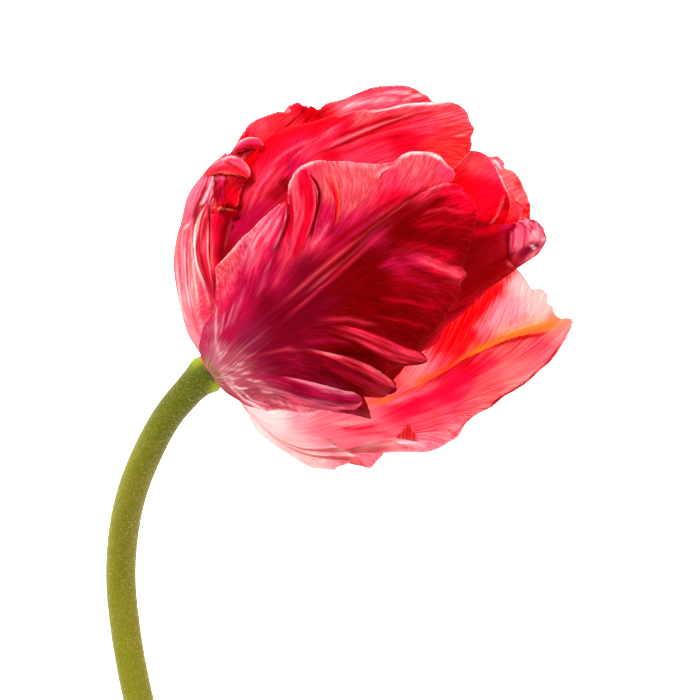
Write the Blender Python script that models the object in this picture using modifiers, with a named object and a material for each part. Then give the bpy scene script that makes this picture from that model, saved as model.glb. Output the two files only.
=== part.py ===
"""A cut parrot tulip lying on its side: a bent stem, eight ragged tepals, six stamens and a pistil.

Run it with: blender --background --python part.py

The tables are in millimetres in the flower's own frame: its origin is the middle of the receptacle, where the
tepals join the stem, x and y lie along the surface that the flower rests on, and z points up from it. The
tepals lie on one of two cups. A cup is a meridian turned round the flower's axis, and a tepal is the piece of it
inside a ragged rim, lifted off it or pressed into it where the rim curls.
"""

import math
from collections import namedtuple

import bmesh
import bpy
import numpy as np

MM = 0.001

# Where the flower's own frame lies in the part's frame, whose origin is the middle of the footprint.
FLOWER_X = -28.0
FLOWER_Y = 30.5
FLOWER_HEIGHT = 31.0

AXIS_TURN = math.radians(36.0)
ALONG = np.array([math.cos(AXIS_TURN), math.sin(AXIS_TURN), 0.0])
ACROSS = np.array([-math.sin(AXIS_TURN), math.cos(AXIS_TURN), 0.0])
UP = np.array([0.0, 0.0, 1.0])

TEPAL_THICKNESS = 0.45
WHORL_STEP = 0.9
WHORL_SPREAD = 1.1
WHORL_SPREAD_FROM = 5.0
WHORL_SPREAD_OVER = 30.0
BASE_RADIUS = 4.9
FLOOR_GAP = 0.05
FLOOR_SOFTNESS = 0.5

# A rib of a tepal leaves its base straight up the meridian, this share of the way, before it turns to the rim.
RIB_REACH = 0.8
RIB_TURN = 0.15
STATIONS = 10

# How a rim row finds its place on the cup: the steepest angle it may lie at before it is lifted off instead.
STEEPEST = math.radians(78.0)
MOST_LIFT = 9.0
LANDING_TRIES = 12
LANDING_GAIN = 0.7
NORMAL_STEP = 0.4
NORMAL_TURN = 0.02
CUP_SMOOTHING = 8

# Meridians as (distance along the axis, radius), and each cup's sideways sway as (distance along, offset).
CLOSED_MERIDIAN = [
    (0.1, 5.0), (0.3, 8.0), (1.0, 12.5), (3.2, 18.0), (8.2, 23.4), (17.0, 27.6), (30.0, 30.2),
    (42.0, 31.8), (54.0, 31.0), (64.0, 27.6), (72.0, 23.8), (80.0, 20.0), (90.0, 16.0),
]
CLOSED_SWAY = [(0.0, 0.0), (2.0, 0.4), (10.0, 2.6), (20.0, 4.4), (36.0, 5.2), (52.0, 4.8), (66.0, 4.2), (84.0, 2.0)]
OPEN_MERIDIAN = [
    (0.1, 5.0), (-0.4, 8.5), (-0.7, 13.0), (-0.4, 18.5), (0.9, 24.5), (4.0, 30.0), (10.0, 33.6), (18.0, 36.3),
    (28.0, 38.2), (40.0, 38.6), (52.0, 38.2), (62.0, 37.0), (70.0, 34.0), (78.0, 30.0), (88.0, 25.0),
]
OPEN_SWAY = [(-1.0, 0.0), (1.0, -0.6), (6.0, -1.8), (15.0, -3.6), (30.0, -6.0), (44.0, -7.0), (80.0, -7.2)]

# One tepal: its cup, its layer on the cup (outwards is positive), the angles of its base's two ends, and its rim
# in order round the edge. A rim row is (x, y, side, lift): side is 1 on the upper half of the cup and -1 on the
# lower half, and lift moves the rim off the cup, outwards where it is positive. Where side is 0 the row is
# (distance along the meridian, angle in degrees, 0, lift). Angles turn about the flower's axis from the top.
Tepal = namedtuple("Tepal", "name cup layer base_from base_to rim")

FRONT_OUTER = Tepal("tepal_front_outer", "closed", 2.6, 11.0, -24.0, [
    (15.0, 17.0, 0, 0.0), (24.0, 18.0, 0, 0.0),
    (0.0, 17.4, 1, 0.4), (0.6, 22.2, 1, 0.6), (2.2, 25.2, 1, 0.4), (5.0, 28.0, 1, 0.0), (8.0, 30.5, 1, 0.6),
    (11.0, 33.0, 1, 0.9), (14.6, 36.6, 1, 1.2), (16.4, 40.0, 1, 0.4), (18.0, 45.0, 1, 1.0), (21.0, 46.3, 1, 1.6),
    (25.0, 46.9, 1, 1.2), (30.0, 46.3, 1, 0.6), (35.0, 46.0, 1, 1.0), (40.0, 46.0, 1, 0.4), (44.0, 49.0, 1, 0.8),
    (48.0, 48.8, 1, 1.2), (51.5, 47.4, 1, 1.4), (54.2, 44.0, 1, 1.0), (53.6, 41.4, 1, 0.4), (56.6, 40.0, 1, 0.8),
    (59.0, 37.0, 1, 1.0), (59.5, 34.0, 1, 1.0), (58.5, 30.5, 1, 0.6), (56.5, 25.0, 1, 0.4), (56.7, 20.0, 1, 0.8),
    (55.6, 16.5, 1, 0.6), (53.0, 12.5, 1, 0.4), (50.0, 8.0, 1, 0.4), (46.5, 4.6, 1, 0.4), (47.6, 1.8, 1, 1.0),
    (44.5, 0.4, 1, 1.0), (40.6, -0.6, 1, 0.4), (40.4, -4.2, 1, 1.0), (37.5, -6.4, 1, 1.0), (33.8, -6.2, 1, 0.4),
    (32.0, -9.3, 1, 1.0), (26.0, -10.2, 1, 0.8), (21.0, -11.3, 1, 0.8), (12.0, -10.0, 1, 0.4),
    (20.0, -36.0, 0, 0.0), (12.0, -33.0, 0, 0.0),
])
FRONT_UPPER = Tepal("tepal_front_upper", "closed", 1.0, 45.0, 12.0, [
    (14.0, 50.0, 0, 0.0), (26.0, 51.0, 0, 0.0), (36.0, 53.0, 0, 0.0), (46.0, 55.0, 0, 0.0), (54.0, 57.5, 0, 0.0),
    (10.5, 50.8, 1, 0.6), (15.0, 54.3, 1, 0.6), (20.0, 55.6, 1, 0.2), (25.0, 56.8, 1, 0.6), (30.0, 57.8, 1, 0.2),
    (35.0, 58.3, 1, 0.6), (40.0, 59.3, 1, 0.4), (46.0, 60.1, 1, 0.6), (52.0, 60.2, 1, 0.6), (56.3, 58.8, 1, 0.4),
    (58.6, 54.6, 1, 0.2), (58.0, 50.0, 1, 0.0), (88.0, 1.0, 0, 0.0), (77.0, 0.0, 0, 0.0),
    (64.0, 0.0, 0, 0.0), (50.0, 1.0, 0, 0.0), (36.0, 3.0, 0, 0.0), (24.0, 5.0, 0, 0.0), (14.0, 7.0, 0, 0.0),
])
FRONT_LOWER = Tepal("tepal_front_lower", "closed", 0.0, -18.0, -46.0, [
    (14.0, -13.0, 0, 0.0), (28.0, -10.0, 0, 0.0), (44.0, -9.0, 0, 0.0), (60.0, -10.0, 0, 0.0),
    (74.0, -14.0, 0, 0.0), (86.0, -24.0, 0, 0.0), (66.0, 32.6, 1, 0.8), (69.5, 32.6, 1, 1.4), (73.0, 31.6, 1, 1.8),
    (75.2, 30.0, 1, 1.8), (74.0, 27.4, 1, 1.4), (71.0, 24.5, 1, 0.8), (66.0, 20.9, 1, 0.2), (60.5, 15.9, 1, 0.2),
    (55.0, 11.5, 1, 0.4), (50.0, 6.0, 1, 0.2), (44.5, 0.8, 1, 0.4), (38.5, -3.6, 1, 0.2), (42.0, -72.0, 0, 0.0),
    (33.0, -64.0, 0, 0.0), (24.0, -57.0, 0, 0.0), (14.0, -52.0, 0, 0.0),
])
FRONT_INNER = Tepal("tepal_front_inner", "closed", -1.5, 5.0, -23.0, [
    (14.0, 9.0, 0, 0.0), (30.0, 12.0, 0, 0.0), (48.0, 14.0, 0, 0.0), (66.0, 16.0, 0, 0.0), (82.0, 19.0, 0, 0.0),
    (50.0, 48.8, 1, 0.3), (55.0, 49.7, 1, 0.5), (60.0, 49.3, 1, 0.6), (62.6, 47.6, 1, 0.6), (64.6, 44.6, 1, 0.4),
    (65.8, 41.2, 1, 0.5), (67.0, 38.0, 1, 0.6), (66.2, 34.0, 1, 0.4), (64.2, 30.2, 1, 0.2),
    (78.0, -48.0, 0, 0.0), (66.0, -42.0, 0, 0.0), (50.0, -37.0, 0, 0.0), (32.0, -31.0, 0, 0.0),
    (15.0, -27.0, 0, 0.0),
])
LEFT_OUTER = Tepal("tepal_left_outer", "closed", 1.8, 32.0, 90.0, [
    (13.0, 22.0, 0, 0.0), (22.0, 19.0, 0, 0.0),
    (-0.8, 15.0, 1, 0.0), (-1.2, 22.0, 1, 0.2), (-0.8, 30.0, 1, 0.4), (2.2, 36.6, 1, 0.6), (4.6, 38.6, 1, 0.6),
    (5.4, 41.4, 1, 0.8), (6.8, 43.8, 1, 1.0), (6.4, 47.6, 1, 0.6), (9.2, 50.8, 1, 0.6),
    (7.4, 52.2, 1, 0.2), (3.6, 49.4, 1, 0.0), (50.0, 88.0, 0, 0.0), (0.4, 46.6, -1, 0.2),
    (-2.0, 43.8, -1, 0.0), (-4.4, 40.4, -1, 0.0), (-6.2, 34.4, -1, 0.0), (-8.6, 30.4, -1, 0.0),
    (-9.4, 24.0, -1, 0.0), (24.0, 112.0, 0, 0.0), (17.0, 108.0, 0, 0.0), (12.0, 104.0, 0, 0.0),
])
REAR_UPPER = Tepal("tepal_rear_upper", "closed", 0.3, 106.0, 158.0, [
    (14.0, 97.0, 0, 0.0), (28.0, 89.0, 0, 0.0), (39.0, 83.0, 0, 0.0), (48.0, 79.0, 0, 0.0),
    (6.6, 53.6, 1, 0.4), (12.0, 57.0, 1, 0.6), (67.0, 90.0, 0, 0.4), (17.4, 60.0, -1, 1.0),
    (19.8, 58.6, -1, 0.4), (22.0, 60.2, -1, 0.6), (25.0, 60.4, -1, 0.2), (30.0, 62.0, -1, 0.4),
    (35.0, 64.0, -1, 0.6), (40.0, 65.1, -1, 0.8), (45.0, 64.5, -1, 0.6), (50.0, 60.2, -1, 0.2), (53.0, 54.0, -1, 0.0), (90.0, 168.0, 0, 0.0),
    (76.0, 172.0, 0, 0.0), (60.0, 173.0, 0, 0.0), (44.0, 172.0, 0, 0.0), (28.0, 170.0, 0, 0.0),
    (14.0, 167.0, 0, 0.0),
])
REAR_RIGHT = Tepal("tepal_rear_right", "closed", -1.0, 165.0, 209.0, [
    (14.0, 158.0, 0, 0.0), (30.0, 153.0, 0, 0.0), (48.0, 150.0, 0, 0.0), (66.0, 150.0, 0, 0.0),
    (84.0, 154.0, 0, 0.0), (56.0, 50.0, -1, 0.0),
    (62.0, 48.6, -1, 0.2), (65.4, 47.6, -1, 0.6), (67.0, 45.4, -1, 0.4), (69.4, 43.4, -1, 0.4),
    (71.4, 39.4, -1, 0.6), (72.0, 34.6, -1, 0.4), (70.4, 28.6, -1, 0.0), (86.0, 251.0, 0, 0.0),
    (74.0, 242.0, 0, 0.0), (60.0, 234.0, 0, 0.0), (44.0, 227.0, 0, 0.0), (28.0, 221.0, 0, 0.0),
    (14.0, 218.0, 0, 0.0),
])
LOWER_OPEN = Tepal("tepal_lower_open", "open", 0.0, -116.0, -154.0, [
    (12.0, -95.0, 0, 0.0), (20.0, -87.0, 0, 0.0), (28.0, -85.0, 0, 0.0), (34.0, -91.0, 0, 0.2),
    (27.5, -23.5, -1, 0.6), (34.5, -22.8, -1, 0.4), (38.6, -20.8, -1, 0.4), (42.0, -20.3, -1, 0.0),
    (45.0, -19.7, -1, 0.2), (49.0, -19.6, -1, 0.4), (53.0, -17.6, -1, 0.4),
    (57.0, -13.4, -1, 0.2), (62.0, -9.8, -1, 0.2), (68.0, -6.2, -1, 0.2), (74.0, -2.0, -1, 0.2),
    (79.0, 4.0, -1, 0.2), (81.8, 10.0, -1, 0.2), (77.6, 12.4, -1, 0.4), (76.2, 16.4, -1, 0.4),
    (72.4, 18.0, -1, 0.0), (70.0, 22.0, -1, 0.2), (64.0, 24.0, -1, 0.0), (85.0, -171.0, 0, 0.0),
    (72.0, -174.0, 0, 0.0), (58.0, -175.0, 0, 0.0), (44.0, -174.0, 0, 0.0), (30.0, -170.0, 0, 0.0),
    (16.0, -165.0, 0, 0.0),
])
TEPALS = [
    FRONT_OUTER, FRONT_UPPER, FRONT_LOWER, FRONT_INNER, LEFT_OUTER, REAR_UPPER, REAR_RIGHT, LOWER_OPEN,
]

# The stem's middle line and radius from the dome of the receptacle to the cut, as (x, y, z, radius).
STEM_LINE = [
    (1.5, 1.1, 0.0, 2.4), (1.1, 0.8, 0.0, 3.6), (0.3, 0.2, 0.0, 4.3), (-2.0, -1.5, 0.0, 4.4), (-2.7, -1.95, 0.0, 4.7),
    (-3.6, -2.7, -0.1, 4.4), (-4.8, -3.7, -0.3, 3.9), (-6.6, -5.5, -0.9, 3.6), (-10.8, -10.4, -3.4, 3.5),
    (-16.3, -20.0, -9.2, 3.5), (-20.2, -30.0, -15.8, 3.5), (-22.2, -40.0, -21.8, 3.5), (-22.7, -50.0, -25.9, 3.5),
    (-21.8, -60.0, -27.3, 3.5), (-20.2, -70.0, -27.4, 3.5), (-18.0, -80.0, -27.4, 3.5), (-15.0, -91.0, -27.4, 3.5),
    (-11.2, -103.0, -27.4, 3.5), (-7.0, -114.0, -27.4, 3.5), (-2.5, -125.0, -27.4, 3.5),
]
RECEPTACLE_ROWS = 7
STEM_SMOOTHING = 2

PISTIL_LENGTH = 27.0
PISTIL_START = 2.1
PISTIL_RADIUS = 3.1
PISTIL_TAPER = 0.22
OVARY_LOBES = 0.10
STIGMA_AT = 0.9
STIGMA_SPREAD = 0.07
STIGMA_FLARE = 0.41
STIGMA_LOBES = 0.34
STAMEN_COUNT = 6
STAMEN_TURN = math.radians(30.0)
# A stamen as (distance along the axis, distance from the axis, radius): the filament, then its anther.
STAMEN_LINE = [
    (2.0, 3.3, 0.7), (5.0, 5.4, 0.95), (10.0, 7.2, 0.8), (14.5, 8.2, 0.55), (15.5, 8.5, 1.5), (18.0, 9.0, 1.9),
    (23.0, 9.8, 1.8), (27.0, 10.4, 1.5), (28.4, 10.6, 0.7),
]

SLOT_COLOURS = {
    "tepal": (0.62, 0.02, 0.05, 1.0),
    "stem_green": (0.20, 0.26, 0.03, 1.0),
    "pistil_green": (0.42, 0.48, 0.16, 1.0),
    "anther_dark": (0.06, 0.03, 0.07, 1.0),
}


def smooth_path(points, steps):
    """Returns the points with steps - 1 more between each two, on one smooth line through them all."""
    points = np.array(points, float)
    gaps = np.linalg.norm(np.diff(points, axis=0), axis=1)
    knots = np.concatenate([[0.0], np.cumsum(gaps)])
    slopes = np.gradient(points, knots, axis=0)
    out = []
    for i in range(len(points) - 1):
        width = knots[i + 1] - knots[i]
        for k in range(steps):
            f = k / steps
            a = 2 * f**3 - 3 * f**2 + 1
            b = f**3 - 2 * f**2 + f
            c = -2 * f**3 + 3 * f**2
            d = f**3 - f**2
            out.append(a * points[i] + b * width * slopes[i] + c * points[i + 1] + d * width * slopes[i + 1])
    out.append(points[-1])
    return np.array(out)


class Cup:
    """A meridian turned round the flower's axis, with its middle swaying to one side along the way."""

    def __init__(self, meridian, sway):
        line = smooth_path(meridian, CUP_SMOOTHING)
        steps = np.linalg.norm(np.diff(line, axis=0), axis=1)
        self.length = meridian[0][1] + np.concatenate([[0.0], np.cumsum(steps)])
        self.along = line[:, 0]
        self.radius = line[:, 1]
        sway_line = smooth_path(sway, CUP_SMOOTHING)
        self.sway = np.interp(self.along, sway_line[:, 0], sway_line[:, 1])

    def bare(self, length, angle):
        """The point on the cup that is this far out along its meridian, at this angle from the top."""
        along = np.interp(length, self.length, self.along)
        radius = np.interp(length, self.length, self.radius)
        sway = np.interp(length, self.length, self.sway)
        side = sway + radius * np.sin(angle)
        height = radius * np.cos(angle)
        return along[..., None] * ALONG + side[..., None] * ACROSS + height[..., None] * UP

    def normal(self, length, angle):
        """The direction out of the cup."""
        tangent = self.bare(length + NORMAL_STEP, angle) - self.bare(length - NORMAL_STEP, angle)
        turn = self.bare(length, angle + NORMAL_TURN) - self.bare(length, angle - NORMAL_TURN)
        out = np.cross(tangent, turn)
        out /= np.linalg.norm(out, axis=-1, keepdims=True)
        return out


CUPS = {"closed": Cup(CLOSED_MERIDIAN, CLOSED_SWAY), "open": Cup(OPEN_MERIDIAN, OPEN_SWAY)}


def layer_offset(layer, length):
    """How far off the cup a layer lies: the layers draw apart on the way up from the receptacle."""
    spread = np.clip((length - WHORL_SPREAD_FROM) / WHORL_SPREAD_OVER, 0.0, 1.0)
    spread = spread * spread * (3.0 - 2.0 * spread)
    return layer * (WHORL_STEP + WHORL_SPREAD * spread)


def tepal_point(tepal, length, angle, lift):
    """The middle of the tepal's thickness, lifted off its layer of the cup and resting on the surface below."""
    cup = CUPS[tepal.cup]
    offset = layer_offset(tepal.layer, length) + lift
    point = cup.bare(length, angle) + offset[..., None] * cup.normal(length, angle)
    lowest = -FLOWER_HEIGHT + TEPAL_THICKNESS / 2 + FLOOR_GAP
    press = (point[..., 2] - lowest) / FLOOR_SOFTNESS
    point[..., 2] = lowest + FLOOR_SOFTNESS * np.logaddexp(0.0, press)
    return point


def place_rim(tepal, rows):
    """Turns rim rows into (distance along the meridian, angle, lift) so that each lands on its own x and y."""
    cup = CUPS[tepal.cup]
    rows = np.array(rows, float)
    wanted = rows[:, :2]
    side = rows[:, 2]
    lift = rows[:, 3].copy()
    aim = wanted.copy()
    for _ in range(LANDING_TRIES):
        along = aim @ ALONG[:2]
        across = aim @ ACROSS[:2]
        start = np.argmin(cup.along)
        length = np.interp(along, cup.along[start:], cup.length[start:])
        radius = np.interp(length, cup.length, cup.radius) + layer_offset(tepal.layer, length)
        reach = across - np.interp(length, cup.length, cup.sway)
        ratio = reach / (radius + lift)
        limit = math.sin(STEEPEST)
        angle = np.arcsin(np.clip(ratio, -limit, limit))
        angle = np.where(side > 0, angle, math.pi - angle)
        over = np.clip(np.abs(reach) / limit - (radius + rows[:, 3]), 0.0, MOST_LIFT)
        lift = rows[:, 3] + over
        landed = tepal_point(tepal, length, angle, lift)[:, :2]
        aim = aim + LANDING_GAIN * (wanted - landed)
    given = side == 0
    length = np.where(given, rows[:, 0], length)
    angle = np.where(given, np.radians(rows[:, 1]), angle)
    lift = np.where(given, rows[:, 3], lift)
    middle = math.radians((tepal.base_from + tepal.base_to) / 2)
    angle = middle + (angle - middle + math.pi) % (2 * math.pi) - math.pi
    return np.stack([length, angle, lift], axis=1)


def tepal_sheet(tepal, stations):
    """Lays the tepal out as ribs that fan from its base to its rim: returns the points, rib by rib."""
    rim = place_rim(tepal, tepal.rim)
    radius = np.interp(rim[:, 0], CUPS[tepal.cup].length, CUPS[tepal.cup].radius)
    steps = np.hypot(np.diff(rim[:, 0]), np.diff(rim[:, 1]) * (radius[1:] + radius[:-1]) / 2)
    share = np.concatenate([[0.0], np.cumsum(steps)]) / steps.sum()
    base_length = np.full(len(rim), BASE_RADIUS)
    base_angle = np.radians(tepal.base_from + share * (tepal.base_to - tepal.base_from))
    t = np.linspace(0.0, 1.0, stations)[None, :]
    bend_length = base_length + RIB_REACH * (rim[:, 0] - base_length)
    bend_angle = base_angle + RIB_TURN * (rim[:, 1] - base_angle)
    start, middle, end = (1 - t) ** 2, 2 * t * (1 - t), t**2
    length = start * base_length[:, None] + middle * bend_length[:, None] + end * rim[:, 0][:, None]
    angle = start * base_angle[:, None] + middle * bend_angle[:, None] + end * rim[:, 1][:, None]
    lift = rim[:, 2][:, None] * t**3
    return tepal_point(tepal, length, angle, lift)


def make_object(name, mesh, slot, home):
    """Names a mesh's object, moves it into the part's frame and gives it a material of its own."""
    shift = np.array([FLOWER_X, FLOWER_Y, FLOWER_HEIGHT])
    for vertex in mesh.vertices:
        vertex.co = [(c + s) * MM for c, s in zip(vertex.co, shift)]
    obj = bpy.data.objects.new(name, mesh)
    home.objects.link(obj)
    material = bpy.data.materials.new(name + "_" + slot)
    material.use_nodes = True
    shader = material.node_tree.nodes["Principled BSDF"]
    shader.inputs["Base Color"].default_value = SLOT_COLOURS[slot]
    shader.inputs["Roughness"].default_value = 0.5
    mesh.materials.clear()
    mesh.materials.append(material)
    return obj


def applied(mesh, set_up):
    """Returns the mesh after the modifiers that set_up adds to a stand-in for it."""
    stand_in = bpy.data.objects.new("stand_in", mesh)
    bpy.context.scene.collection.objects.link(stand_in)
    set_up(stand_in)
    bpy.context.view_layer.update()
    graph = bpy.context.evaluated_depsgraph_get()
    out = bpy.data.meshes.new_from_object(stand_in.evaluated_get(graph))
    bpy.data.objects.remove(stand_in)
    return out


def make_tepal(tepal, home):
    """A tepal is a grid laid over its ribs and thickened."""
    points = tepal_sheet(tepal, STATIONS)
    ribs = points.shape[0]
    sheet = bmesh.new()
    bmesh.ops.create_grid(sheet, x_segments=ribs - 1, y_segments=STATIONS - 1, size=0.5)
    for vertex in sheet.verts:
        i = round((vertex.co.x + 0.5) * (ribs - 1))
        j = round((vertex.co.y + 0.5) * (STATIONS - 1))
        vertex.co = points[i, j]
    mesh = bpy.data.meshes.new(tepal.name)
    sheet.to_mesh(mesh)
    sheet.free()

    def thicken(obj):
        solidify = obj.modifiers.new("thickness", "SOLIDIFY")
        solidify.thickness = TEPAL_THICKNESS
        solidify.offset = 0.0
        solidify.use_even_offset = False
        solidify.use_quality_normals = True

    solid = applied(mesh, thicken)
    make_outward(solid)
    return make_object(tepal.name, solid, "tepal", home)


def make_outward(mesh):
    """Turns every face to point out of the closed body."""
    body = bmesh.new()
    body.from_mesh(mesh)
    bmesh.ops.recalc_face_normals(body, faces=body.faces)
    if body.calc_volume(signed=True) < 0:
        bmesh.ops.reverse_faces(body, faces=body.faces)
    body.to_mesh(mesh)
    body.free()


def swept_mesh(name, line, resolution):
    """A round rod along a line of (x, y, z, radius) rows, closed at both ends."""
    curve = bpy.data.curves.new(name, "CURVE")
    curve.dimensions = "3D"
    curve.bevel_depth = 1.0
    curve.bevel_resolution = resolution
    curve.use_fill_caps = True
    spline = curve.splines.new("POLY")
    spline.points.add(len(line) - 1)
    for point, row in zip(spline.points, line):
        point.co = (row[0], row[1], row[2], 1.0)
        point.radius = row[3]
    holder = bpy.data.objects.new(name, curve)
    bpy.context.scene.collection.objects.link(holder)
    bpy.context.view_layer.update()
    graph = bpy.context.evaluated_depsgraph_get()
    mesh = bpy.data.meshes.new_from_object(holder.evaluated_get(graph))
    bpy.data.objects.remove(holder)
    body = bmesh.new()
    body.from_mesh(mesh)
    bmesh.ops.remove_doubles(body, verts=body.verts, dist=0.0001)
    body.to_mesh(mesh)
    body.free()
    make_outward(mesh)
    return mesh


def make_stem(home):
    """The stem runs from the dome of the receptacle down to its cut, where it lies on the surface."""
    bent = [tuple(row) for row in smooth_path(STEM_LINE[RECEPTACLE_ROWS:], STEM_SMOOTHING)]
    line = STEM_LINE[:RECEPTACLE_ROWS] + bent
    return make_object("stem", swept_mesh("stem", line, 4), "stem_green", home)


def make_pistil(home):
    """A three-sided ovary with a three-lobed stigma on top."""
    body = bmesh.new()
    bmesh.ops.create_uvsphere(body, u_segments=24, v_segments=20, radius=1.0)
    for vertex in body.verts:
        polar = math.acos(max(-1.0, min(1.0, vertex.co.z)))
        turn = math.atan2(vertex.co.y, vertex.co.x)
        along = 1.0 - polar / math.pi
        flat = math.sqrt(max(0.0, 1.0 - (2.0 * along - 1.0) ** 8))
        lobes = 1.0 + OVARY_LOBES * math.cos(3.0 * turn)
        radius = PISTIL_RADIUS * flat * lobes * (1.0 - PISTIL_TAPER * along)
        head = math.exp(-(((along - STIGMA_AT) / STIGMA_SPREAD) ** 2))
        radius *= 1.0 + head * (STIGMA_FLARE + STIGMA_LOBES * math.cos(3.0 * turn))
        if polar < 1e-4 or polar > math.pi - 1e-4:
            radius = 0.0
        place = ALONG * (PISTIL_START + PISTIL_LENGTH * along)
        place = place + ACROSS * (radius * math.cos(turn)) + UP * (radius * math.sin(turn))
        vertex.co = place
    mesh = bpy.data.meshes.new("pistil")
    body.to_mesh(mesh)
    body.free()
    make_outward(mesh)
    return make_object("pistil", mesh, "pistil_green", home)


def make_stamen(number, home):
    """A tapering filament with its anther, leaning out from the pistil."""
    turn = STAMEN_TURN + 2 * math.pi * number / STAMEN_COUNT
    out = ACROSS * math.sin(turn) + UP * math.cos(turn)
    line = []
    for along, away, radius in STAMEN_LINE:
        place = ALONG * along + out * away
        line.append((place[0], place[1], place[2], radius))
    name = "stamen_" + str(number + 1)
    return make_object(name, swept_mesh(name, line, 2), "anther_dark", home)


def main():
    for obj in list(bpy.data.objects):
        bpy.data.objects.remove(obj)
    home = bpy.data.collections.new("tulip_flower")
    bpy.context.scene.collection.children.link(home)
    make_stem(home)
    make_pistil(home)
    for number in range(STAMEN_COUNT):
        make_stamen(number, home)
    for tepal in TEPALS:
        make_tepal(tepal, home)


main()
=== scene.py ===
"""A cut parrot tulip laid on its side: ragged, fluted tepals, a velvety bent stem and the parts of its heart.

The tables are in millimetres, in the flower's own frame. Its origin is the middle of the receptacle, x and y
lie along the surface that the flower rests on, and z points up from it.
"""

import math
from collections import namedtuple

import bmesh
import bpy
import numpy as np
from mathutils.kdtree import KDTree
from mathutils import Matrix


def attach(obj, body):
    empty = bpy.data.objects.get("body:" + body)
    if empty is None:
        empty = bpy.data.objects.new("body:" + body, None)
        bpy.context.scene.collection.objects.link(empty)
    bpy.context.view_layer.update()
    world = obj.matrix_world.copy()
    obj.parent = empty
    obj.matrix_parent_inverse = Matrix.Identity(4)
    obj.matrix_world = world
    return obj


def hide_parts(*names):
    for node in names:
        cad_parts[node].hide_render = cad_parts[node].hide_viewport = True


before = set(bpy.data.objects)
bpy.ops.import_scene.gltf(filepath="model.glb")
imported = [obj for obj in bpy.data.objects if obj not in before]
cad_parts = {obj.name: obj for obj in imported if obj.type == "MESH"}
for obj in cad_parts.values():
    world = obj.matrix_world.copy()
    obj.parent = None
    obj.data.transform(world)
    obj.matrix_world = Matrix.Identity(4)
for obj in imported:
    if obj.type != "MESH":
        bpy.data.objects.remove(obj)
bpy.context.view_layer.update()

bl_info = {
    "name": "Parrot Tulip",
    "version": (1, 0, 0),
    "blender": (4, 5, 0),
    "location": "View3D > Sidebar > Tulip",
    "description": "Grows a ragged tulip flower and lays it on a lit table",
    "category": "Add Mesh",
}

MM = 0.001
FLOWER_PLACE = np.array([-28.0, 30.5, 31.0])
AXIS_TURN = math.radians(36.0)
ALONG = np.array([math.cos(AXIS_TURN), math.sin(AXIS_TURN), 0.0])
ACROSS = np.array([-math.sin(AXIS_TURN), math.cos(AXIS_TURN), 0.0])
UP = np.array([0.0, 0.0, 1.0])
SMALL = 1e-9
FAR = 1e9

# The cups that the tepals lie on: a meridian as (distance along the axis, radius), swaying to one side.
CLOSED_MERIDIAN = [
    (0.1, 5), (0.3, 8), (1, 12.5), (3.2, 18), (8.2, 23.4), (17, 27.6), (30, 30.2), (42, 31.8), (54, 31),
    (64, 27.6), (72, 23.8), (80, 20), (90, 16),
]
CLOSED_SWAY = [(0, 0), (2, 0.4), (10, 2.6), (20, 4.4), (36, 5.2), (52, 4.8), (66, 4.2), (84, 2)]
OPEN_MERIDIAN = [
    (0.1, 5), (-0.4, 8.5), (-0.7, 13), (-0.4, 18.5), (0.9, 24.5), (4, 30), (10, 33.6), (18, 36.3), (28, 38.2),
    (40, 38.6), (52, 38.2), (62, 37), (70, 34), (78, 30), (88, 25),
]
OPEN_SWAY = [(-1, 0), (1, -0.6), (6, -1.8), (15, -3.6), (30, -6), (44, -7), (80, -7.2)]
CUP_SMOOTHING = 8
NORMAL_STEP = 0.4
NORMAL_TURN = 0.02

# How far apart the layers of tepals lie at the receptacle, and how they draw apart on the way up.
WHORL_STEP = 0.9
WHORL_SPREAD = 1.1
WHORL_SPREAD_FROM = 5.0
WHORL_SPREAD_OVER = 30.0

# How the lowest tepals rest on the floor.
FLOOR_GAP = 0.06
FLOOR_SOFTNESS = 0.5

# How rim rows are brought to their own x and y: the steepest part of a cup in use, and the lift past it.
STEEPEST = math.radians(78.0)
MOST_LIFT = 9.0
LANDING_TRIES = 12
LANDING_GAIN = 0.7

# How the ribs of a tepal run from its base to its rim, and how rim rows are weighed to space them.
BASE_RADIUS = 4.9
RIB_REACH = 0.8
RIB_TURN = 0.15
RIB_CROWDING = 1.3
LIFT_POWER = 3
RIM_WEIGHTS = np.array([1.0, 30.0, 1.0])
HIDDEN_GAP = 2.5

# A tepal's own noise, in layers of (share, seed step, width across the ribs, bumps from base to rim).
NOISE_SIZE = 256
PLEATS = [(0.6, 0, 6.0, 2.0), (0.4, 1, 2.6, 3.0)]
RUFFLES = [(1.0, 2, 5.0, 0.5)]
TORN_EDGE = [(0.6, 5, 2.2, 0.0), (0.4, 6, 0.9, 0.0)]
FEATHERS = [(1.1, 7, 0.8, 5.0), (0.9, 8, 2.6, 3.0)]
STROKE_BREAKS = [(0.3, 9, 0.8, 7.0)]
FIBRES = [(1.0, 10, 1.8, 16.0), (0.5, 11, 0.9, 24.0)]
PLEAT_RISE = 0.5
RUFFLE_POWER = 7
FEATHER_RISE = 0.3

# How folds pull the sheet over itself, and how lines of every kind fade at their ends.
FOLD_EDGE = 0.3
FOLD_GRIP = 1.6
END_FADE = 0.25

# How paints blend: the fall of a tint with distance, the cover of a stroke, and the pale fibres at the base.
TINT_FALL = 2.5
STROKE_COVER = 0.95
LEAST_COVER = 0.7
STROKE_GRIP = 0.8
FIBRE_SHARE = 0.8
FIBRE_SPREAD = 0.75
FIBRE_FROM = 0.04
FIBRE_OVER = 0.28

# How streaks get their dark and bright colours from a paint, and where veins and the painted rim highlight
# show.
STREAK_GAIN = 1.2
MOST_STREAK = 0.5
BRIGHTENING = 1.45
DEEPENING = np.array([0.7, 0.4, 0.5])
PALE_DEEPENING = np.array([0.92, 0.74, 0.78])
PALE_GREEN = 0.6
FULL_VEIN_GREEN = 70.0
LEAST_VEINING = 0.2
RIM_GREEN = 0.05
RIM_FADE = 0.3

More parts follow.
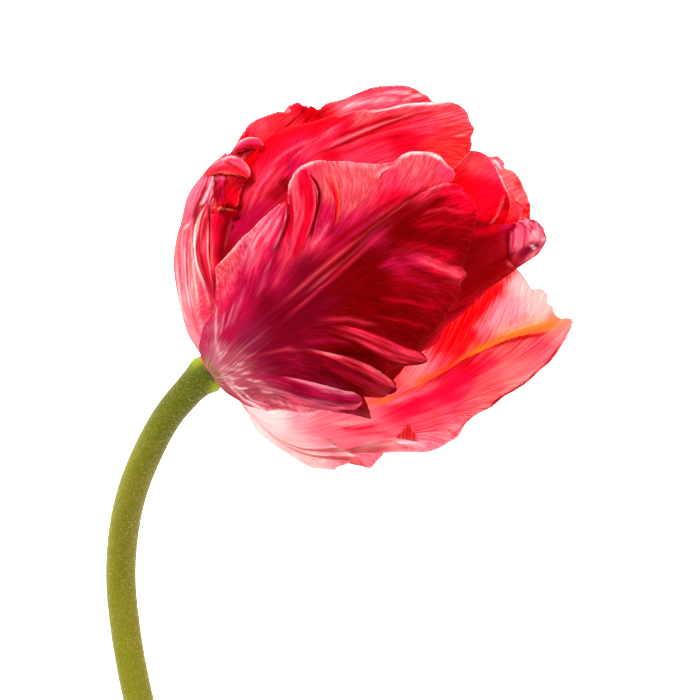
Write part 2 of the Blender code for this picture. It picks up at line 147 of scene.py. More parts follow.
# How the veins are laid out: the map's scale across and along the ribs, and the fan away from a midrib.
UV_ACROSS = 0.01
UV_ALONG = 0.6
FAN_REACH = 45.0
FAN_SPREAD = 20.0
FAN_START = 0.35

# Lobes: their grid, how they rest on the tepal and blend into it, how their paints wander, and a rim distance
# that keeps the painted rim highlight off them.
LOBE_STEPS = 12
LOBE_COLUMNS = 17
UPPER_FROM = 2.0
GROUND_POINTS = 6
GROUND_SOFTNESS = 0.1
LOBE_BLEND = 0.4
LOBE_SEED = 60
LOBE_WANDER = 0.35
LOBE_WANDER_WIDTH = 0.7
LOBE_WANDER_LENGTH = 7.0
LOBE_WANDER_SHIFT = 40.0
LOBE_UV_FROM = 0.3
LOBE_UV_STEP = 0.07
NO_RIM_HIGHLIGHT = 9.0

# How rough the noise of every skin is.
NOISE_ROUGHNESS = 0.6

# The petal skin: the stretch of its streaks and veins, the spans in which noise turns from one to the other,
# and the spans of rim distance over which the painted rim highlight fades, and of roughness.
STREAK_STRETCH = (170.0, 20.0, 1.0)
STREAK_DETAIL = 2.5
STREAK_SPAN = (0.44, 0.58)
VEIN_STRETCH = (100.0, 3.0, 1.0)
VEIN_SCALE = 1.2
VEIN_DETAIL = 1.0
VEIN_WIDTH = 0.1
VEIN_DEPTH = 0.15
RIM_HIGHLIGHT_SPAN = (0.1, 0.36)
RIM_HIGHLIGHT_SHARE = 0.7
RIM_HIGHLIGHT_BREAKS = (0.4, 0.6)
GLOSS_SPAN = (0.3, 0.7)
PETAL_ROUGHNESS = (0.34, 0.5)
PETAL_BUMP = (0.6, 0.0005)

# Colours by a painter's name, as screen red, green and blue.
PAINTS = {
    "black_red": (100, 0, 6),
    "garnet": (152, 0, 6),
    "deep": (130, 0, 4),
    "crimson": (165, 2, 16),
    "wine": (140, 4, 36),
    "plum": (160, 30, 75),
    "raspberry": (200, 14, 76),
    "ruby": (224, 6, 48),
    "scarlet": (230, 1, 28),
    "vermilion": (250, 50, 52),
    "cerise": (236, 12, 102),
    "rose": (246, 54, 96),
    "coral": (250, 90, 102),
    "salmon": (246, 124, 122),
    "pink": (250, 120, 146),
    "blush": (252, 168, 180),
    "shell": (252, 205, 202),
    "cream": (250, 228, 214),
    "white": (255, 246, 240),
    "orange": (250, 138, 74),
    "amber": (240, 172, 50),
    "ash": (200, 88, 106),
    "mauve": (214, 110, 140),
    "lime": (126, 142, 10),
    "grass": (104, 104, 6),
    "leaf": (52, 62, 2),
    "olive": (88, 82, 3),
    "tan": (150, 138, 72),
}

# A tepal lies on a layer of one cup, and its base spans two angles in degrees. Its rim rows are (x, y, side,
# lift), where side is 1 on the upper half of the cup and -1 on the lower half; where side is 0, they are
# (length along the meridian, angle in degrees, 0, lift). Tints are places (x, y, reach) for each paint.
# A stroke is (paint, strength, width) and its lines. A fold is (over, under, reach, line), raised on the left
# of its line and sunk on the right. A ridge is (height, width, line), and veins are (paint, strength).
Tepal = namedtuple(
    "Tepal", "node cup layer base_from base_to rim tints strokes folds ridges mottle detail veins"
)

# A lobe stands off its tepal. It has its paints from its left edge to its right, the height of its crown, its
# rows from base to tip, as (x, y, width to the left, width to the right, height off the tepal), and strokes.
Lobe = namedtuple("Lobe", "paints crown rows strokes")

FRONT_OUTER = Tepal(
    node="tepal_front_outer", cup="closed", layer=2.6, base_from=11, base_to=-24,
    rim=[
        (15, 17, 0, 0), (22, 18, 0, 0), (0.1, 15, 1, 0.3), (0.3, 19, 1, 0.5), (-0.3, 22.4, 1, 0.8),
        (0.9, 23.8, 1, 0.7), (2.4, 25.4, 1, 0.5), (4.2, 27.3, 1, 0.2), (6.2, 29.3, 1, 0.2),
        (8.2, 30.8, 1, 0.5), (10, 32.6, 1, 0.7), (12, 34.4, 1, 0.9), (14, 36.2, 1, 1.1), (15.8, 37.2, 1, 1.2),
        (16.8, 37, 1, 0.4), (16.9, 39, 1, 0.4), (16.8, 41.2, 1, 0.6), (17.3, 43.4, 1, 0.8),
        (18.4, 45.3, 1, 1.1), (20.4, 46.3, 1, 1.5), (23.6, 46.8, 1, 1.5), (27, 46.5, 1, 1),
        (30, 46.4, 1, 0.6), (33, 46.4, 1, 0.8), (36, 46.3, 1, 0.9), (39, 46.2, 1, 0.4), (40.8, 46.9, 1, 0.4),
        (42.2, 48.1, 1, 0.6), (44, 49, 1, 0.8), (47, 49, 1, 1.1), (49.6, 48.5, 1, 1.3), (51.4, 47.3, 1, 1.3),
        (52.9, 45.5, 1, 1.2), (54.2, 43.7, 1, 0.9), (53.8, 42.6, 1, 0.4), (52.8, 41.5, 1, 0.2),
        (54.6, 41.5, 1, 0.6), (56.3, 40.5, 1, 0.8), (57.8, 38.9, 1, 0.9), (59, 37, 1, 1), (59.4, 34.6, 1, 1),
        (59, 31.8, 1, 0.8), (58, 29.2, 1, 0.6), (57.2, 26.8, 1, 0.4), (56.3, 24.8, 1, 0.3),
        (55.9, 23, 1, 0.3), (56.8, 20.4, 1, 0.9), (55.7, 19.4, 1, 0.6), (55.8, 17.2, 1, 0.5),
        (55, 15, 1, 0.4), (53.4, 12.7, 1, 0.3), (52, 10.2, 1, 0.4), (50.4, 8.3, 1, 0.4), (48.4, 6.7, 1, 0.3),
        (46.2, 4.9, 1, 0.2), (45.9, 3.7, 1, 0.5), (47.4, 2.8, 1, 0.9), (48.1, 1.4, 1, 1.1), (47, 0.4, 1, 0.9),
        (44.4, 0.2, 1, 0.6), (41.6, -0.2, 1, 0.3), (39.2, -1.4, 1, 0.2), (40.2, -3.2, 1, 1),
        (41, -4.6, 1, 1.3), (39.9, -5.6, 1, 1.1), (38.2, -6.9, 1, 0.9), (36.2, -6.9, 1, 0.6),
        (34.2, -6.6, 1, 0.3), (32.6, -6.6, 1, 0.3), (33.4, -8.6, 1, 0.8), (35, -12, 1, 1),
        (33, -11.2, 1, 0.8), (31.2, -10.2, 1, 0.7), (28.6, -9.9, 1, 0.8), (25.6, -10.1, 1, 0.8),
        (23, -10.5, 1, 0.8), (21.4, -11.4, 1, 0.9), (18.8, -11, 1, 0.6), (15.6, -10.6, 1, 0.4),
        (12, -10, 1, 0.4), (20, -36, 0, 0), (12, -33, 0, 0),
    ],
    tints={
        "mauve": [(0, 0, 2), (0.2, 4.6, 1.4), (0, 8.6, 1.4)],
        "ash": [(4, -3, 2.5), (5, 2, 3), (10, -4, 3), (14, -8, 3)],
        "rose": [
            (0, 12.6, 1.4), (54, 21.2, 1.6), (2, 17, 2), (16, 26, 3), (20, 42, 3), (22, 28, 3), (40, 43, 3),
            (51, 44, 2.4), (46, 40, 2.4),
        ],
        "plum": [(12, 0, 2), (8, 6, 4), (26, -6, 3)],
        "raspberry": [
            (17, 1.6, 2), (3, 8, 3), (46, 24, 2.4), (41, 23, 2.6), (6, 14, 4), (13, 20, 4), (8, 23, 3),
            (12, 25, 2.6), (25, 34, 3), (28, 28, 4), (33, 32, 4), (36, 29, 2.4),
        ],
        "pink": [(21, -9.4, 2.6), (24, -9.4, 2), (9, 30, 2.4), (13, 33, 2)],
        "wine": [(31, -9, 2.4), (15, 1, 5), (18, 8, 6), (24, -1, 4), (24, 14, 6), (12, 14, 4), (21, 22, 4)],
        # The crimson and deep tints are partly the tepal's own dark red and partly painted shade in its
        # middle and lower right.
        "crimson": [(33, -2, 4), (40, 2, 3), (50, 15, 4), (44, 18, 4), (50, 34, 4), (58, 32, 3), (28, 22, 4)],
        "deep": [(30, 4, 4), (32, 14, 8), (34, 23, 6), (43, 10, 7), (53, 28, 5), (44, 30, 4)],
        "ruby": [
            (50, 22.8, 2), (52, 25.6, 2), (57, 37, 3), (54, 40, 2), (17, 32, 2.4), (19, 36, 2.4), (40, 38, 3),
        ],
        "coral": [(1, 21, 2), (4, 25, 2), (24, 40, 2.6), (30, 37, 3), (28, 42, 3), (34, 43, 4), (46, 45, 4)],
    },
    strokes=[
        ("lime", 0.8, 0.6, [(-3, 3), (-1.8, 0.6), (0, -1.8), (1.6, -3.6)]),
        ("white", 0.85, 0.3, [
            (-0.8, 2.4), (2.6, -3.9), (6.2, -7.5), (11.4, -9.9), (15.8, -10.4), (20.2, -11.3), (22.6, -10.9),
        ]),
        ("white", 0.8, 0.22,
         [(1.6, -0.6), (4, -4.2), (8, -7.6), (13, -9.3)],
         [(-0.3, 9), (-0.1, 5), (0.8, 2), (2.4, -0.4)]),
        ("white", 0.9, 0.22, [(1.2, 0.2), (2.6, -0.6), (4.2, -0.6)], [(2, -2), (3.8, -2.8), (5.4, -2.6)]),
        ("white", 0.85, 0.22,
         [(3.4, -4.4), (5.6, -5), (7.6, -4.8)],
         [(6.4, -2.6), (8.6, -3.4), (10.6, -3.2)]),
        ("shell", 0.7, 0.22, [(0.6, 6.4), (1.4, 9.6), (2, 13)], [(2, 8.2), (3.4, 11.6), (4.4, 15.2)]),
        ("shell", 0.7, 0.2, [(1.4, 6), (2.4, 3.4), (3.8, 1.8)]),
        ("shell", 0.8, 0.3, [(0.2, 14.6), (-0.2, 10.6), (-0.2, 6.6)]),
        ("shell", 0.7, 0.2, [(5, 2.4), (7.6, 2.2), (9.4, 3.4)]),
        ("shell", 0.6, 0.3, [(9.6, -5.4), (11.6, -6), (13.2, -5.8)]),
        ("blush", 0.6, 0.3, [(12, -7.6), (16, -8.8), (20.6, -9.4)]),
        ("white", 0.8, 0.25,
         [(0, 3.6), (1.2, 3), (2.4, 2.8)],
         [(3.6, 0.8), (5, 0.4), (6.4, 0.6)],
         [(3.4, -0.4), (4.6, -0.8), (6.2, -0.7)],
         [(5.4, -1.8), (7, -1.4), (8.6, -1.6)]),
        ("coral", 0.7, 0.4, [(6, 1), (10, 2.6), (16, 4), (20, 3.4)]),
        ("wine", 0.6, 0.7, [(7, 2.6), (12, 4.6), (18, 5.8)]),
        ("blush", 0.5, 0.5, [(8, -4), (14, -5.6), (20, -6.6)]),
        ("blush", 0.4, 0.5, [(3, 8), (5, 13), (7, 19)]),
        ("raspberry", 0.6, 0.7, [(6, -1.6), (12, -2.6), (19, -3.6)]),
        ("wine", 0.6, 0.7, [(5, 1.6), (12, 2.6), (20, 3)]),
        ("shell", 0.75, 0.5, [(-0.2, 22.6), (1.6, 24.6), (4.2, 27), (7, 29.6)]),
        ("blush", 0.7, 0.6, [(5, 21), (7, 26), (10, 30.4), (14.6, 35.6)]),
        ("blush", 0.6, 0.5, [(8, 22), (10.4, 27), (13, 31.4)]),
        ("pink", 0.6, 0.5, [(1, 14), (3, 19), (5.4, 24)]), ("pink", 0.5, 0.5, [(9, 15), (11, 20), (13, 26)]),
        ("coral", 0.6, 0.5, [(12.6, 17), (15.4, 23), (18, 28.4)]),
        ("pink", 0.7, 0.5, [(20.8, 26.6), (23.6, 29.4), (26, 33.6)]),
        # Painted highlights along the upper rim and along the fold beside it.
        ("shell", 0.95, 0.45, [
            (16.9, 38.4), (16.9, 41.4), (17.6, 43.8), (19.4, 45.6), (22.4, 46.5), (25.4, 46.5),
        ]),
        ("white", 0.9, 0.45, [(40.4, 46.2), (42, 47.7), (44.4, 48.8), (48, 48.7), (51.4, 47), (53.6, 44.2)]),
        ("shell", 0.9, 0.5, [(35.4, 42.2), (37.6, 44.6), (40.2, 45.4), (42.4, 47.4)]),
        ("blush", 0.5, 0.6, [(27.4, 45.9), (31, 45.8), (36, 45.8), (39.4, 45.6)]),
        # Painted shadow in the slit beside the raised lobe.
        ("black_red", 1, 0.45, [
            (20.6, 28), (22.4, 32.4), (23.5, 36.4), (23.6, 39.6), (22.7, 42.2), (21.6, 43.6),
        ]),
        ("crimson", 0.7, 0.7, [(17.4, 24), (19.4, 28.6), (21.2, 33)]),
        ("crimson", 0.6, 0.6, [(27.9, 37.4), (27.2, 33), (25.4, 28.4)]),
        ("crimson", 0.7, 0.5, [(17.6, 36.4), (16.8, 33), (15, 29), (14.2, 25)]),
        # The midrib: painted highlights on its ridges and fold top, painted shade in its groove and below the
        # fold.
        ("coral", 0.95, 0.5, [(12, 11.6), (22, 20.6), (32, 28.8), (42, 36.6), (51, 41.6)]),
        ("shell", 0.9, 0.5, [(30, 28.4), (38, 34.6), (45, 38.8), (51.6, 41.2), (55.2, 41.5)]),
        ("pink", 0.6, 0.4, [(18, 14.4), (28, 23.4), (37, 31.2), (44, 36.4)]),
        ("rose", 0.7, 0.4, [(14, 9.4), (26, 19.6), (36, 28.6), (43, 34)]),
        ("deep", 1, 0.6, [(24, 20.4), (33, 28.4), (41, 34.4), (48, 38.4)]),
        ("crimson", 1, 0.6, [(26, 24.6), (35, 32.4), (43, 38), (51, 42.8)]),
        ("crimson", 0.9, 0.5, [(22, 23.6), (30, 30.6), (38, 36.6), (45, 40.6)]),
        ("deep", 0.9, 0.8, [(38, 29.4), (44, 33.6), (50, 37.4), (55, 39)]),
        # Painted highlights along the crests of the ridges on the right side, with painted shade below the
        # longest ridge.
        ("rose", 0.7, 0.4, [(52, 39.6), (55.6, 40), (58, 37.4)]),
        ("rose", 0.6, 0.4, [(46, 34.6), (52, 36), (57.6, 34.6)]),
        ("ruby", 0.6, 0.4, [(44, 31.6), (51, 32.6), (57.6, 31.4)]),
        ("rose", 0.5, 1.3, [(42, 25.6), (48, 23.6), (56.6, 20.2)]),
        ("salmon", 0.7, 0.35, [(45, 24.8), (51, 22.4), (56.8, 20.2)]),
        ("coral", 0.6, 0.3, [(46, 25.6), (51, 23.4), (56.2, 20.9)]),
        ("deep", 0.8, 0.4, [(43, 23), (50, 20.4), (56.4, 19.3)]),
        ("ruby", 0.5, 0.8, [(40, 28), (47, 27.4), (55.6, 24.4)]),
        ("raspberry", 0.6, 0.7, [(40, 21.4), (46, 19.4), (52.6, 17.2)]),
        ("ruby", 0.7, 0.4, [(36, 15.4), (44, 14.6), (53, 12.6)]),
        ("ruby", 0.6, 0.4, [(34, 11.6), (42, 10.4), (50, 8.4)]),
        ("rose", 0.6, 0.5, [(22, 10), (30, 10.6), (38, 9)]),
        ("raspberry", 0.6, 0.5, [(18, 5.4), (26, 6), (34, 5)]),
        # Painted shadow in the gaps under the raised fingers' edges.
        ("black_red", 0.8, 0.7,
         [(26, 4.4), (31, 3.4), (36, 1.4), (39.4, -0.8)],
         [(22, -0.8), (27, -2.6), (32, -4.6), (35.4, -6.4)]),
        ("black_red", 0.6, 0.7, [(32, 7), (38, 4.4), (43, 1.6)]),
        ("shell", 0.7, 0.5, [(12, -9.8), (18, -10.8), (22, -11), (28, -9.7)]),
    ],
    folds=[
        (1.2, 0.6, 4, [(11.4, 20), (14, 28), (15.7, 32), (16.5, 35), (15.6, 38)]),
        (1.5, 0.7, 4.5, [(41.6, -4.8), (40, -3.6), (38, -2), (35, 0), (31, 2), (25, 3.6)]),
        (1.3, 0.6, 4, [(34, -7.4), (32, -6.2), (29, -5.7), (25, -4.5), (19, -1.6)]),
        (0.9, 0.7, 3, [(55, 43.2), (50.8, 41.2), (46, 38.6), (38, 32.8), (30, 26.6)]),
        (0.5, 0.3, 2, [(36, 40.6), (37.6, 44), (40.2, 45.6), (41.6, 48)]),
    ],
    ridges=[
        (0.7, 0.9, [(40, 26.2), (44, 25), (50, 23), (57, 20.2)]),
        (0.6, 0.8, [(40, 21.4), (44, 20), (48, 17.6), (52, 15.6)]),
        (0.9, 1.4, [(28, 9.6), (36, 7), (42, 4), (48, 1.4)]), (0.7, 1, [(34, 4), (38, 2.6), (44, 0.6)]),
        (0.5, 0.8, [(4, 3.2), (20, 16.6), (34, 28.8), (50.6, 41)]),
        (0.5, 0.7, [(6, 2.6), (22, 15.6), (36, 28), (46, 35.6)]),
        (-1.6, 6, [(16, 8), (28, 17), (40, 26), (50, 33)]), (0.8, 2.4, [(2, 8), (8, 18), (14, 31)]),
        (-0.6, 1.6, [(3, 12), (6, 20), (10, 28)]), (0.6, 1.6, [(18, 30), (19, 38), (20, 44)]),
        (0.7, 2, [(33, 34), (36, 41), (41, 47)]), (-0.6, 2, [(28, 34), (31, 40), (33, 46)]),
    ],
    mottle=0.6, detail=1, veins=("deep", 0.3),
)
FRONT_UPPER = Tepal(
    node="tepal_front_upper", cup="closed", layer=1, base_from=45, base_to=12,
    rim=[
        (14, 50, 0, 0), (26, 51, 0, 0), (36, 53, 0, 0), (46, 55, 0, 0), (54, 57.5, 0, 0),
        (10.4, 50.7, 1, 0.5), (12.6, 52.6, 1, 0.5), (15, 54.2, 1, 0.5), (18, 55.2, 1, 0.3),
        (21, 55.6, 1, 0.3), (24, 56.4, 1, 0.5), (26.6, 57.2, 1, 0.3), (28, 57, 1, 0.5), (31, 58, 1, 0.2),
        (35, 58.3, 1, 0.6), (38, 59, 1, 0.4), (42, 59.8, 1, 0.5), (46, 60.1, 1, 0.6), (50, 60.3, 1, 0.6),
        (54, 60, 1, 0.5), (56.4, 58.8, 1, 0.4), (57.8, 56.8, 1, 0.3), (58.8, 54.4, 1, 0.2),
        (58.2, 52.2, 1, 0.1), (58, 50, 1, 0), (88, 1, 0, 0), (77, 0, 0, 0), (64, 0, 0, 0), (50, 1, 0, 0),
        (36, 3, 0, 0), (24, 5, 0, 0), (14, 7, 0, 0),
    ],
    tints={
        "shell": [(0, 10, 6)],
        # The crimson tints on the left are painted shadow under the left tepal's lobes; the one by the front
        # tepal's rim is painted shadow from that rim.
        "crimson": [(3, 24, 4), (3, 36, 3), (5.6, 43, 2), (13, 39.4, 1.4)],
        "raspberry": [(4, 32, 3), (7, 33, 3), (10, 36, 2), (18.4, 51, 2.4), (17, 46.4, 2.6)],
        "rose": [
            (8, 40, 3), (12, 44, 3), (22, 49, 2.4), (27, 51.6, 2.4), (32, 50, 3), (38, 49, 3), (48, 55, 3),
        ],
        "scarlet": [(6, 47, 2), (17, 54, 2), (22, 55, 2.4), (27, 56.2, 2)],
        # Painted shadow from the front outer tepal's rim.
        "deep": [(15.4, 42, 1.4)],
        "ruby": [
            (10, 47, 2), (9, 50, 2), (13, 52, 2), (14, 49, 3), (23, 53, 3), (29, 55, 2.6), (26, 47.8, 2),
            (36, 53, 2), (43, 51.6, 4),
        ],
        "coral": [(34, 56.8, 2.6), (42, 58.4, 2.4), (50, 59, 2), (56, 57, 3)],
        "vermilion": [(50, 51, 3), (56, 51, 3)],
    },
    strokes=[
        ("blush", 0.9, 0.45, [(22, 47.9), (28, 51), (34, 53.8), (42, 56.6), (52, 59)]),
        ("crimson", 1, 0.5, [(20.4, 47.2), (26, 49.6), (32, 52.2), (38, 54.6), (46, 57.4), (54, 58.9)]),
        ("crimson", 0.95, 0.45, [(24, 50.4), (30, 53), (38, 55.9), (46, 58.2)]),
        ("crimson", 0.6, 0.5, [(23, 46.9), (30, 49), (38, 51.6), (46, 52.8)]),
        ("pink", 0.6, 0.4,
         [(12, 45), (16, 48.6), (22, 52.4)],
         [(16, 46.6), (21, 50.4), (28, 53.8)],
         [(7, 34), (9.4, 40), (14, 46)]),
        ("pink", 0.5, 0.4, [(9, 36), (12, 42), (17, 47)]),
        ("coral", 0.6, 0.4, [(5.4, 34), (7, 39), (10, 44.6)]),
        ("blush", 0.5, 0.35, [(18, 49.4), (23, 52), (30, 55.4)]),
        ("crimson", 0.6, 0.4, [(8, 34), (11, 41), (15.6, 46.4)]),
        ("crimson", 0.5, 0.4, [(14, 45), (19, 49.6), (26, 53.4)]),
        ("scarlet", 0.95, 1.5, [(8, 47), (11, 51), (16, 53.6), (22, 55.1), (30, 56.6)]),
        ("vermilion", 0.6, 0.4, [(12, 52.2), (18, 55), (24, 56.4), (28.4, 57.4)]),
        # Painted highlight along the upper rim.
        ("white", 0.9, 0.5, [(32, 57.2), (37, 58.5), (43, 59.7), (50, 60.1), (55, 59.4)]),
        ("coral", 0.6, 0.5, [(30, 50.4), (38, 53), (46, 55), (55, 56.6)]),
        ("shell", 0.5, 0.35, [(54, 52.4), (56.6, 53), (58.4, 54)]),
        ("crimson", 0.5, 0.35, [(50, 53.6), (54, 54.6), (57.6, 56)], [(50, 51.8), (54, 52), (57.4, 51.6)]),
    ],
    folds=[(0.7, 0.3, 4, [(16, 44), (24, 49), (34, 52.4), (46, 56), (56, 59.4)])],
    ridges=[
        (0.6, 1.4, [(6, 30), (9, 38), (14, 47), (20, 52)]), (-0.6, 1.2, [(4, 28), (6, 38), (9, 47)]),
        (0.6, 1.6, [(22, 52), (32, 55.4), (42, 58)]), (0.5, 1.2, [(30, 49), (40, 52), (52, 54)]),
        (-0.5, 1.2, [(34, 48), (44, 50), (56, 51.6)]),
    ],
    mottle=0.65, detail=1.2, veins=("crimson", 0.55),
)
FRONT_LOWER = Tepal(
    node="tepal_front_lower", cup="closed", layer=0, base_from=-18, base_to=-46,
    rim=[
        (14, -13, 0, 0), (28, -10, 0, 0), (44, -9, 0, 0), (60, -10, 0, 0), (74, -14, 0, 0), (86, -24, 0, 0),
        (66, 32.5, 1, 0.8), (68, 33.1, 1, 1.2), (70.4, 32.2, 1, 1.5), (73, 31.6, 1, 1.8),
        (75.2, 30.9, 1, 1.9), (75.5, 29.4, 1, 1.9), (74.2, 27.6, 1, 1.5), (72.6, 25.8, 1, 1.1),
        (70.6, 24, 1, 0.7), (68.2, 22.4, 1, 0.3), (65, 20, 1, 0.2), (60.4, 15.9, 1, 0.2),
        (57.6, 13.8, 1, 0.3), (55, 11.4, 1, 0.4), (52.4, 8.8, 1, 0.3), (50, 6.1, 1, 0.2), (47, 3.2, 1, 0.3),
        (44.4, 0.9, 1, 0.4), (41.6, -1.4, 1, 0.3), (38.6, -3.5, 1, 0.2), (42, -72, 0, 0), (33, -64, 0, 0),
        (24, -57, 0, 0), (14, -52, 0, 0),
    ],
    tints={
        "cream": [(0, 0, 6)],
        # The deep, crimson and garnet tints are painted shade: this tepal lies in shadow behind the front
        # outer tepal.
        "deep": [(40, 6, 9)],
        "crimson": [(52, 12, 6), (61, 28, 4), (68, 24.6, 2)],
        "garnet": [(60, 22, 5)],
        "raspberry": [(67, 30, 2.4), (71, 29.6, 2.6)],
        "pink": [(74, 30, 1.6)],
    },
    strokes=[
        ("scarlet", 1, 1.2, [(57.4, 29.8), (60.4, 30.8), (62.6, 30.9), (65, 32.6)]),
        ("crimson", 0.9, 0.4, [(57.4, 27.9), (60.6, 29), (62.2, 29.1), (64, 30.2), (65.4, 31.2)]),
        # Painted glint at the foot of the curled flap.
        ("salmon", 0.9, 0.35, [(65.8, 24.5), (66.6, 23.6), (67.8, 23)]),
        ("ruby", 0.7, 0.6, [(64, 19.4), (57, 13.4), (50, 6.6), (44, 1)]),
    ],
    folds=[(0.7, 0.5, 3, [(75, 27.6), (70, 26.6), (65.6, 24.6), (60, 22)])],
    ridges=[(0.8, 1.2, [(62, 28), (68, 30.4), (74, 30.4)]), (0.5, 1.2, [(50, 12), (58, 18), (66, 24)])],
    mottle=0.4, detail=0.75, veins=("deep", 0.3),
)
FRONT_INNER = Tepal(
    node="tepal_front_inner", cup="closed", layer=-1.5, base_from=5, base_to=-23,
    rim=[
        (14, 9, 0, 0), (30, 12, 0, 0), (48, 14, 0, 0), (66, 16, 0, 0), (82, 19, 0, 0), (50, 48.8, 1, 0.3),
        (53, 49.5, 1, 0.5), (56, 49.8, 1, 0.5), (60, 49.3, 1, 0.6), (62.2, 48, 1, 0.6), (63.6, 46.2, 1, 0.5),
        (65, 43.4, 1, 0.4), (65.9, 41, 1, 0.5), (67, 38.6, 1, 0.6), (67, 36.6, 1, 0.5), (66.2, 34, 1, 0.4),
        (65.2, 31.8, 1, 0.3), (64, 29.8, 1, 0.2), (78, -48, 0, 0), (66, -42, 0, 0), (50, -37, 0, 0),
        (32, -31, 0, 0), (15, -27, 0, 0),
    ],
    tints={
        "cream": [(0, 0, 6)],
        "crimson": [(30, 20, 9), (62, 30, 3), (66, 37, 1.4)],
        "vermilion": [(50, 44, 4)],
        "coral": [(55, 48, 3), (59, 47, 3)],
        "scarlet": [(57, 42, 4), (64, 34, 3)],
        "ruby": [(62, 40, 3), (60, 35, 3)],
        "rose": [(64, 44, 2)],
    },
    strokes=[
        ("crimson", 0.7, 0.7, [(62, 32), (64.4, 35), (65.8, 38.4)]),
        ("pink", 0.8, 0.35, [(59.4, 29.8), (61.8, 31.6), (63.8, 34.4), (65.2, 37.4), (65.7, 40.4)]),
        # Painted highlight along the rim.
        ("white", 1, 0.35, [(62, 48.3), (64, 45.9), (65.2, 43.2), (66, 41.2), (66.9, 39.6), (67.2, 37.2)]),
    ],
    folds=[(0.8, 0.4, 3, [(67, 37.6), (64.4, 34.6), (61, 31.4), (56, 27)])],
    ridges=[(0.5, 1.4, [(50, 40), (56, 45), (60, 49)]), (-0.4, 1.2, [(53, 38), (59, 42), (64, 45)])],
    mottle=0.5, detail=0.75, veins=("crimson", 0.3),
)
